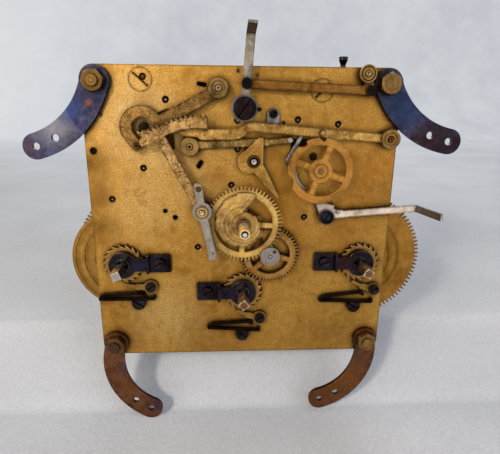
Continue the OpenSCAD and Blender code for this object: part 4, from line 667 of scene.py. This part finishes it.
# %% Posts
POST_LINES = [(MINUTE_POST, 0.8, 1.1), (RACK_POST, 1.15, 1.5), (RELEASE_POST, 1.25, 2.2),
              (CRANK_POST, 1.3, 1.6), (CRANK_POST, 2.6, 3.1),
              (WARNING_POST, BELOW_NOUGHT, 0.7), (WARNING_POST, 1.25, 1.6),
              (LIFTING_POST, 1.2, 1.7), (LIFTING_POST, BELOW_NOUGHT, 0.4),
              (HOOK_POST, 1.25, 1.6), (HOOK_POST, BELOW_NOUGHT, 0.35)]
dress(old_metal(
    "post_brass", "4d3818", "8f6e38", "c2a062", pits=0.7, rough=(0.36, 0.56), edge=0.8,
    edge_colour="dcc08a",
    patches=[disc(MINUTE_POST, 4.8, "aaa29a"), disc((14.7, -13.3), 0.9, "5e462a"),
             disc((10.9, -18.6), 0.7, "b8985e"), disc(RACK_POST, 2.2, "e2c488"),
             disc(RELEASE_POST, 1.25, "c8c0b6"), disc(LIFTING_POST, 1.2, "6a3220"),
             ring(LIFTING_POST, 1.2, 2.4, "c08c3e"), disc(HOOK_POST, 1.2, "a0886a")],
    sockets=[ring(at, inner, outer, "22170c") for at, inner, outer in POST_LINES]),
    "lever_posts")

# %% [markdown]
# ## Nuts and pillars
# The pillars end in studs that pass through the nuts. The left nuts are the dullest. Turned lines
# on the studs' ends are rings in front of the plate only, so the pillars behind it keep a plain
# skin. The cock and the hammers' bracket are of the same brass.

# %% Nuts and pillars
STUD_BACK = -3
STUD_LINES = ((1.0, 1.25), (2.1, 2.35), (2.85, 3.1))
dress(old_metal(
    "nut_brass", "4e381c", "967040", "c89f60", pits=0.6, rough=(0.36, 0.56), edge=0.7, grit=0.4,
    stains=[(*UPPER_LEFT, 20, 0.95, "503a1c"), (*LOWER_LEFT, 18, 0.9, "5e463a")],
    sockets=[ring(UPPER_RIGHT, 2.5, 2.75, "5a3e1a", back=STUD_BACK)]), "pillar_nuts")
dress(old_metal(
    "pillar_brass", "6b4a1d", "b08444", "d2a864", pits=0.3,
    sockets=[disc(UPPER_LEFT, 3, "74562e", back=STUD_BACK),
             disc(LOWER_LEFT, 3, "5c4232", back=STUD_BACK)]
    + [ring(at, inner, outer, "34230f", back=STUD_BACK)
       for at in (UPPER_LEFT, LOWER_RIGHT, LOWER_LEFT) for inner, outer in STUD_LINES]),
    "pillars", "back_cock", "hammer_frame")

# %% [markdown]
# ## Black steel
# The ratchet bridges are blackened steel that shimmers blue and, in places, rust red. The
# hairpin springs are darker and smoother. The screws are black too, and have no rubbed edges,
# because at this size a bright rim would hide their slots.

# %% Black steel
dress(old_metal(
    "black_steel", "100b0a", "29222a", "4e4854", pits=0.4, rough=(0.16, 0.34), edge=0.5,
    edge_colour="7c7682", dirt_and_shade_colour="070404",
    stains=[(-50, -20, 6, 0.6, "2e3046"), (-6, -37, 5, 0.5, "302c42"),
            (49, -20, 7, 0.7, "42201c"), (-14, -36, 4, 0.6, "3c2420")]), "ratchet_bridges")
dress(old_metal(
    "spring_wire", "0c0808", "18120f", "3a302a", pits=0.3, rough=(0.18, 0.34), edge=0.25,
    dirt_and_shade_colour="050303"), "click_springs")
dress(old_metal(
    "screw_steel", "0e0908", "281f20", "54494c", pits=0.4, rough=(0.18, 0.36), edge=0.0,
    dirt_and_shade_colour="040202", dirt_and_shade=1.0, side_shade=0.85,
    stains=[(*CHIME_SILENCE_POST, 4, 0.6, "3c4650"), (*SILENCE_POST, 5, 0.6, "44221a")]),
    "front_screws")

# %% [markdown]
# ## Pallets and hammers
# The pallets are polished steel gone grey. The four hammers behind the back plate are plain
# brass, so one finish serves them all.

# %% Pallets and hammers
dress(old_metal(
    "pallet_steel", "4a453f", "8a8580", "bdb8b0", pits=0.4, rough=(0.26, 0.45),
    dirt_and_shade_colour="1e1913"), "pallets")
dress(old_metal("hammer_brass", "5f431d", "a07a3e", "c9a266", pits=0.4),
      "hammer_1", "hammer_2", "hammer_3", "hammer_4")

# %% [markdown]
# ## Dark plugs in two small holes
# Two small holes near the top of the front plate are closed with dark plugs, as painted shade, so
# no light comes through them. Paint on the plate could not close a hole, so each plug is a short
# disc a little smaller than its hole. A cone with two equal radii is a disc, and it is laid on
# its side to point through the plate.

# %% Dark plugs as painted shade
HOLE_SHADE_AT = [(-62, 48.8), (-2.5, 67.3)]
HOLE_SHADE_RADIUS, HOLE_SHADE_LENGTH = 0.66, 1.2
shape = bmesh.new()
for x, z in HOLE_SHADE_AT:
    lying = Matrix.Translation(Vector((x, 1, z)) * MM) @ Matrix.Rotation(math.pi / 2, 4, "X")
    bmesh.ops.create_cone(shape, cap_ends=True, segments=24, radius1=HOLE_SHADE_RADIUS * MM,
                          radius2=HOLE_SHADE_RADIUS * MM, depth=HOLE_SHADE_LENGTH * MM, matrix=lying)
mesh = bpy.data.meshes.new("hole_shade_plugs")
shape.to_mesh(mesh)
shape.free()
# each plug is a dark thing put in a hole as painted shade
hole_shade = bpy.data.objects.new("hole_shade_plugs", mesh)
bpy.context.scene.collection.objects.link(hole_shade)
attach(hole_shade, "frame")
hole_shade.data.materials.append(old_metal("hole_shade_finish", "120a05", "1c1109", "2e2013", metal=0.1,
                                    rough=(0.5, 0.7), edge=0.0))
print("filled holes:", len(HOLE_SHADE_AT))

# %% [markdown]
# ## Case lugs
# The four lugs were blued by heat. The upper pair has kept it: blue near the nuts, a painted
# highlight of silver sheen on the left one, plum brown at the ends and one spot of rust. The lower
# pair has gone brown, with orange rust and a trace of the old blue. Wide stains over one steel give
# both.

# %% Case lugs
dress(old_metal(
    "blued_lug_steel", "2a2028", "3c3e58", "6a6a84", cloud=45, pits=0.35, rough=(0.26, 0.44),
    dirt_and_shade_colour="150d0c", edge=0.7, edge_colour="a09aa6", cloud_low=0.4, cloud_high=0.6,
    stains=[(-68, 57, 9, 0.8, "26283e"), (-74, 50, 9, 0.9, "2a4278"),
            # the pale grey spot at (-82, 43) is a painted highlight of silver sheen
            (-82, 43, 11, 0.9, "85838c"), (-95, 33, 9, 0.8, "44363c"),
            (-66.5, 53.5, 2.2, 0.8, "8c4a20"), (68, 54, 12, 1, "22344c"),
            (74, 49, 8, 0.8, "34486c"), (84, 38, 14, 1, "38241f"),
            (96, 36, 16, 1, "2e2220"), (63, 63, 8, 0.8, "1c1616")]), "upper_lugs")
dress(old_metal(
    "rusted_lug_steel", "4e2c1e", "7e5236", "a4744c", cloud=70, pits=0.8, grit=0.5,
    rough=(0.38, 0.6), dirt_and_shade_colour="1d100a", edge=0.6, edge_colour="a8836a",
    stains=[(-58, -76, 9, 0.7, "4a3e56"), (-56, -88, 8, 0.6, "8a4c22"),
            (-44, -98, 10, 0.8, "443852"), (-63, -64, 9, 0.5, "4a3436"),
            (60, -74, 12, 0.7, "5c4434"), (54, -84, 13, 0.9, "925a22"),
            (44, -92, 12, 0.8, "80501f"), (36, -98, 8, 0.6, "6a4428")]), "lower_lugs")

# %% [markdown]
# ## A swept sheet
# The movement stands on a pale cloth in front of a painted wall. Two planes would meet in a hard
# line behind the object, so the sheet is one profile, drawn from the side and swept along X. It
# is a stage piece, which the frame leaves out of the kept model.

# %% Sheet from a profile
def sheet_from_profile(name, profile, half_width):
    """A surface swept along X from a profile of (y, z) points in millimetres."""
    shape = bmesh.new()
    line = [shape.verts.new((-half_width * MM, y * MM, z * MM)) for y, z in profile]
    edges = [shape.edges.new(pair) for pair in zip(line, line[1:])]
    swept = bmesh.ops.extrude_edge_only(shape, edges=edges)["geom"]
    bmesh.ops.translate(shape, vec=(2 * half_width * MM, 0, 0),
                        verts=[v for v in swept if isinstance(v, bmesh.types.BMVert)])
    bmesh.ops.recalc_face_normals(shape, faces=shape.faces)
    mesh = bpy.data.meshes.new(name)
    shape.to_mesh(mesh)
    shape.free()
    mesh.shade_smooth()
    made = bpy.data.objects.new(name, mesh)
    bpy.context.scene.collection.objects.link(made)
    return made


print("sheet helper ready")

# %% [markdown]
# ## Floor and wall
# The lower lugs reach below the plates, so the cloth lies a step lower under them and rises, in a
# smooth S, to carry the back plate. Far behind, it sweeps up into the wall on a quarter circle,
# as a photographer's backdrop does.

# %% Floor and wall
CLOTH_FRONT, WALL_AT, WALL_TOP, HALF_WIDTH = -6000, 1500, 4000, 6000
SWEEP = 350
RISE_FROM, RISE_LENGTH, RISE_STEPS = 2, 36, 16
low = cad_box[0][2] / MM - 0.1
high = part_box("back_plate")[0].z / MM - 0.05
rise = [(RISE_FROM + RISE_LENGTH * t / RISE_STEPS,
         low + (high - low) * (3 - 2 * t / RISE_STEPS) * (t / RISE_STEPS) ** 2)
        for t in range(RISE_STEPS + 1)]
sweep = [(WALL_AT - SWEEP + SWEEP * math.sin(math.radians(a)),
          high + SWEEP - SWEEP * math.cos(math.radians(a))) for a in range(0, 91, 5)]
floor = sheet_from_profile("floor", [(CLOTH_FRONT, low), *rise, *sweep, (WALL_AT, WALL_TOP)],
                           HALF_WIDTH)
print("floor steps from", round(low, 1), "to", round(high, 1), "mm")

# %% [markdown]
# ## Cloth
# The cloth is a pale woven cotton, matt and almost white. Its colour changes softly over a hand's
# width, fine noise stands for the fibres, and the slope of the step is painted darker as painted
# shade. The weave itself is only bump, because it is far too fine to need a mesh.

# %% Cloth
FOLD_WAVES, FIBRE_WAVES, WEAVE_WAVES, LUMP_WAVES = 9.0, 700.0, 380.0, 30.0
cloth = bpy.data.materials.new("pale_cloth")
cloth.use_nodes = True
tree = cloth.node_tree
place = add(tree, "TexCoord").outputs["Object"]
soft = noise(tree, place, FOLD_WAVES, 3)
colour = blend(tree, fit(tree, soft, 0.3, 0.7), srgb("b3b5b8"), srgb("c1c3c6"))
fibres = noise(tree, place, FIBRE_WAVES, 3, 0.7)
colour = blend(tree, fit(tree, fibres, 0.35, 0.65, 0.0, 0.35), colour, srgb("8f9196"))
slope = add(tree, "SeparateXYZ", {0: add(tree, "NewGeometry").outputs["Normal"]}).outputs["Z"]
# painted shade: the slope of the step is darkened
colour = blend(tree, fit(tree, slope, 1.0, 0.6, 0.0, 0.35), colour, srgb("8a8c91"))
shader = tree.nodes["Principled BSDF"]
tree.links.new(colour, shader.inputs["Base Color"])
shader.inputs["Roughness"].default_value = 0.95
weave = add(tree, "TexWave", {"Vector": place, "Scale": WEAVE_WAVES, "Distortion": 3.0,
                              "Detail": 3.0, "Detail Scale": 4.0})
lumps = plus(tree, weave.outputs["Fac"], times(tree, noise(tree, place, LUMP_WAVES, 4), 4.0))
bumped = add(tree, "Bump", {"Height": lumps, "Strength": 0.3, "Distance": 0.4 * MM})
tree.links.new(bumped.outputs[0], shader.inputs["Normal"])
print("weave about", round(1000 / WEAVE_WAVES, 1), "mm")

# %% [markdown]
# ## Painted wall
# The wall is so far back that the studio lamps hardly reach it. More light would wash out the
# movement, so the wall's pale paint is given as a plain glow for the rays that see it, straight
# or mirrored in metal, and it lights nothing else. The glow sets in gently along the cloth, and
# towards the left it is brighter, a painted pool of window light.

# %% Painted wall
GLOW_FROM, GLOW_FULL = 0.3, 1.15
plaster = fit(tree, noise(tree, place, FOLD_WAVES, 6, 0.65), 0.35, 0.65)
paint_and_window_light = blend(tree, plaster, srgb("c2c6cc"), srgb("ced2d7"))
parts = add(tree, "SeparateXYZ", {0: place})
# painted light: the wall is painted brighter towards the left, as a pool of window light
window_light_mask = fit(tree, parts.outputs["X"], -0.2, -1.1)
paint_and_window_light = blend(tree, window_light_mask, paint_and_window_light, srgb("e4e6e8"))
rays = add(tree, "LightPath")
seen = plus(tree, rays.outputs["Is Camera Ray"],
            plus(tree, rays.outputs["Is Glossy Ray"], rays.outputs["Is Transmission Ray"]))
glow = times(tree, seen, fit(tree, parts.outputs["Y"], GLOW_FROM, GLOW_FULL))
paper = add(tree, "Emission", {"Color": paint_and_window_light, "Strength": 1.0})
mixed = add(tree, "MixShader", {0: glow, 1: shader.outputs[0], 2: paper.outputs[0]})
tree.links.new(mixed.outputs[0], tree.nodes["Material Output"].inputs["Surface"])
floor.data.materials.append(cloth)
print("wall starts to glow", GLOW_FROM, "m behind the plate")

# %% [markdown]
# ## Room light
# A pale grey world fills the shadows from all sides and gives the metals something to mirror. It
# stays below full strength, so that the lamps still shape the pieces.

# %% Room light
world = bpy.data.worlds.new("studio")
bpy.context.scene.world = world
world.use_nodes = True
background = world.node_tree.nodes["Background"]
background.inputs["Color"].default_value = srgb("d4d6da")
background.inputs["Strength"].default_value = 0.8
print("world strength", background.inputs["Strength"].default_value)

# %% [markdown]
# ## Lamps
# Soft daylight falls from the upper left. A small warm key lamp makes the highlights on the
# nuts and pipe, a large window lamp beside it keeps the plate's left half bright, a cool fill
# opens the right side, and one lamp behind draws the edges. Sizes and places are in millimetres.

# %% Lamps
def softbox(name, spot, size, power, colour="ffffff"):
    """A square lamp at a place in millimetres, turned towards the middle of the movement."""
    light = bpy.data.lights.new(name, "AREA")
    light.size = size * MM
    light.energy = power
    light.color = srgb(colour)[:3]
    lamp = bpy.data.objects.new(name, light)
    lamp.location = Vector(spot) * MM
    lamp.rotation_euler = (-lamp.location).to_track_quat("-Z", "Y").to_euler()
    bpy.context.scene.collection.objects.link(lamp)
    print(name, power, "W")


softbox("key", (-620, -950, 560), 140, 10, "fff4e4")
softbox("window", (-1000, -900, 40), 1100, 13, "fff6ec")
softbox("fill", (800, -800, 500), 900, 7, "f0f2ff")
softbox("rim", (200, 900, 700), 800, 6)
bpy.context.scene.view_settings.view_transform = "Standard"
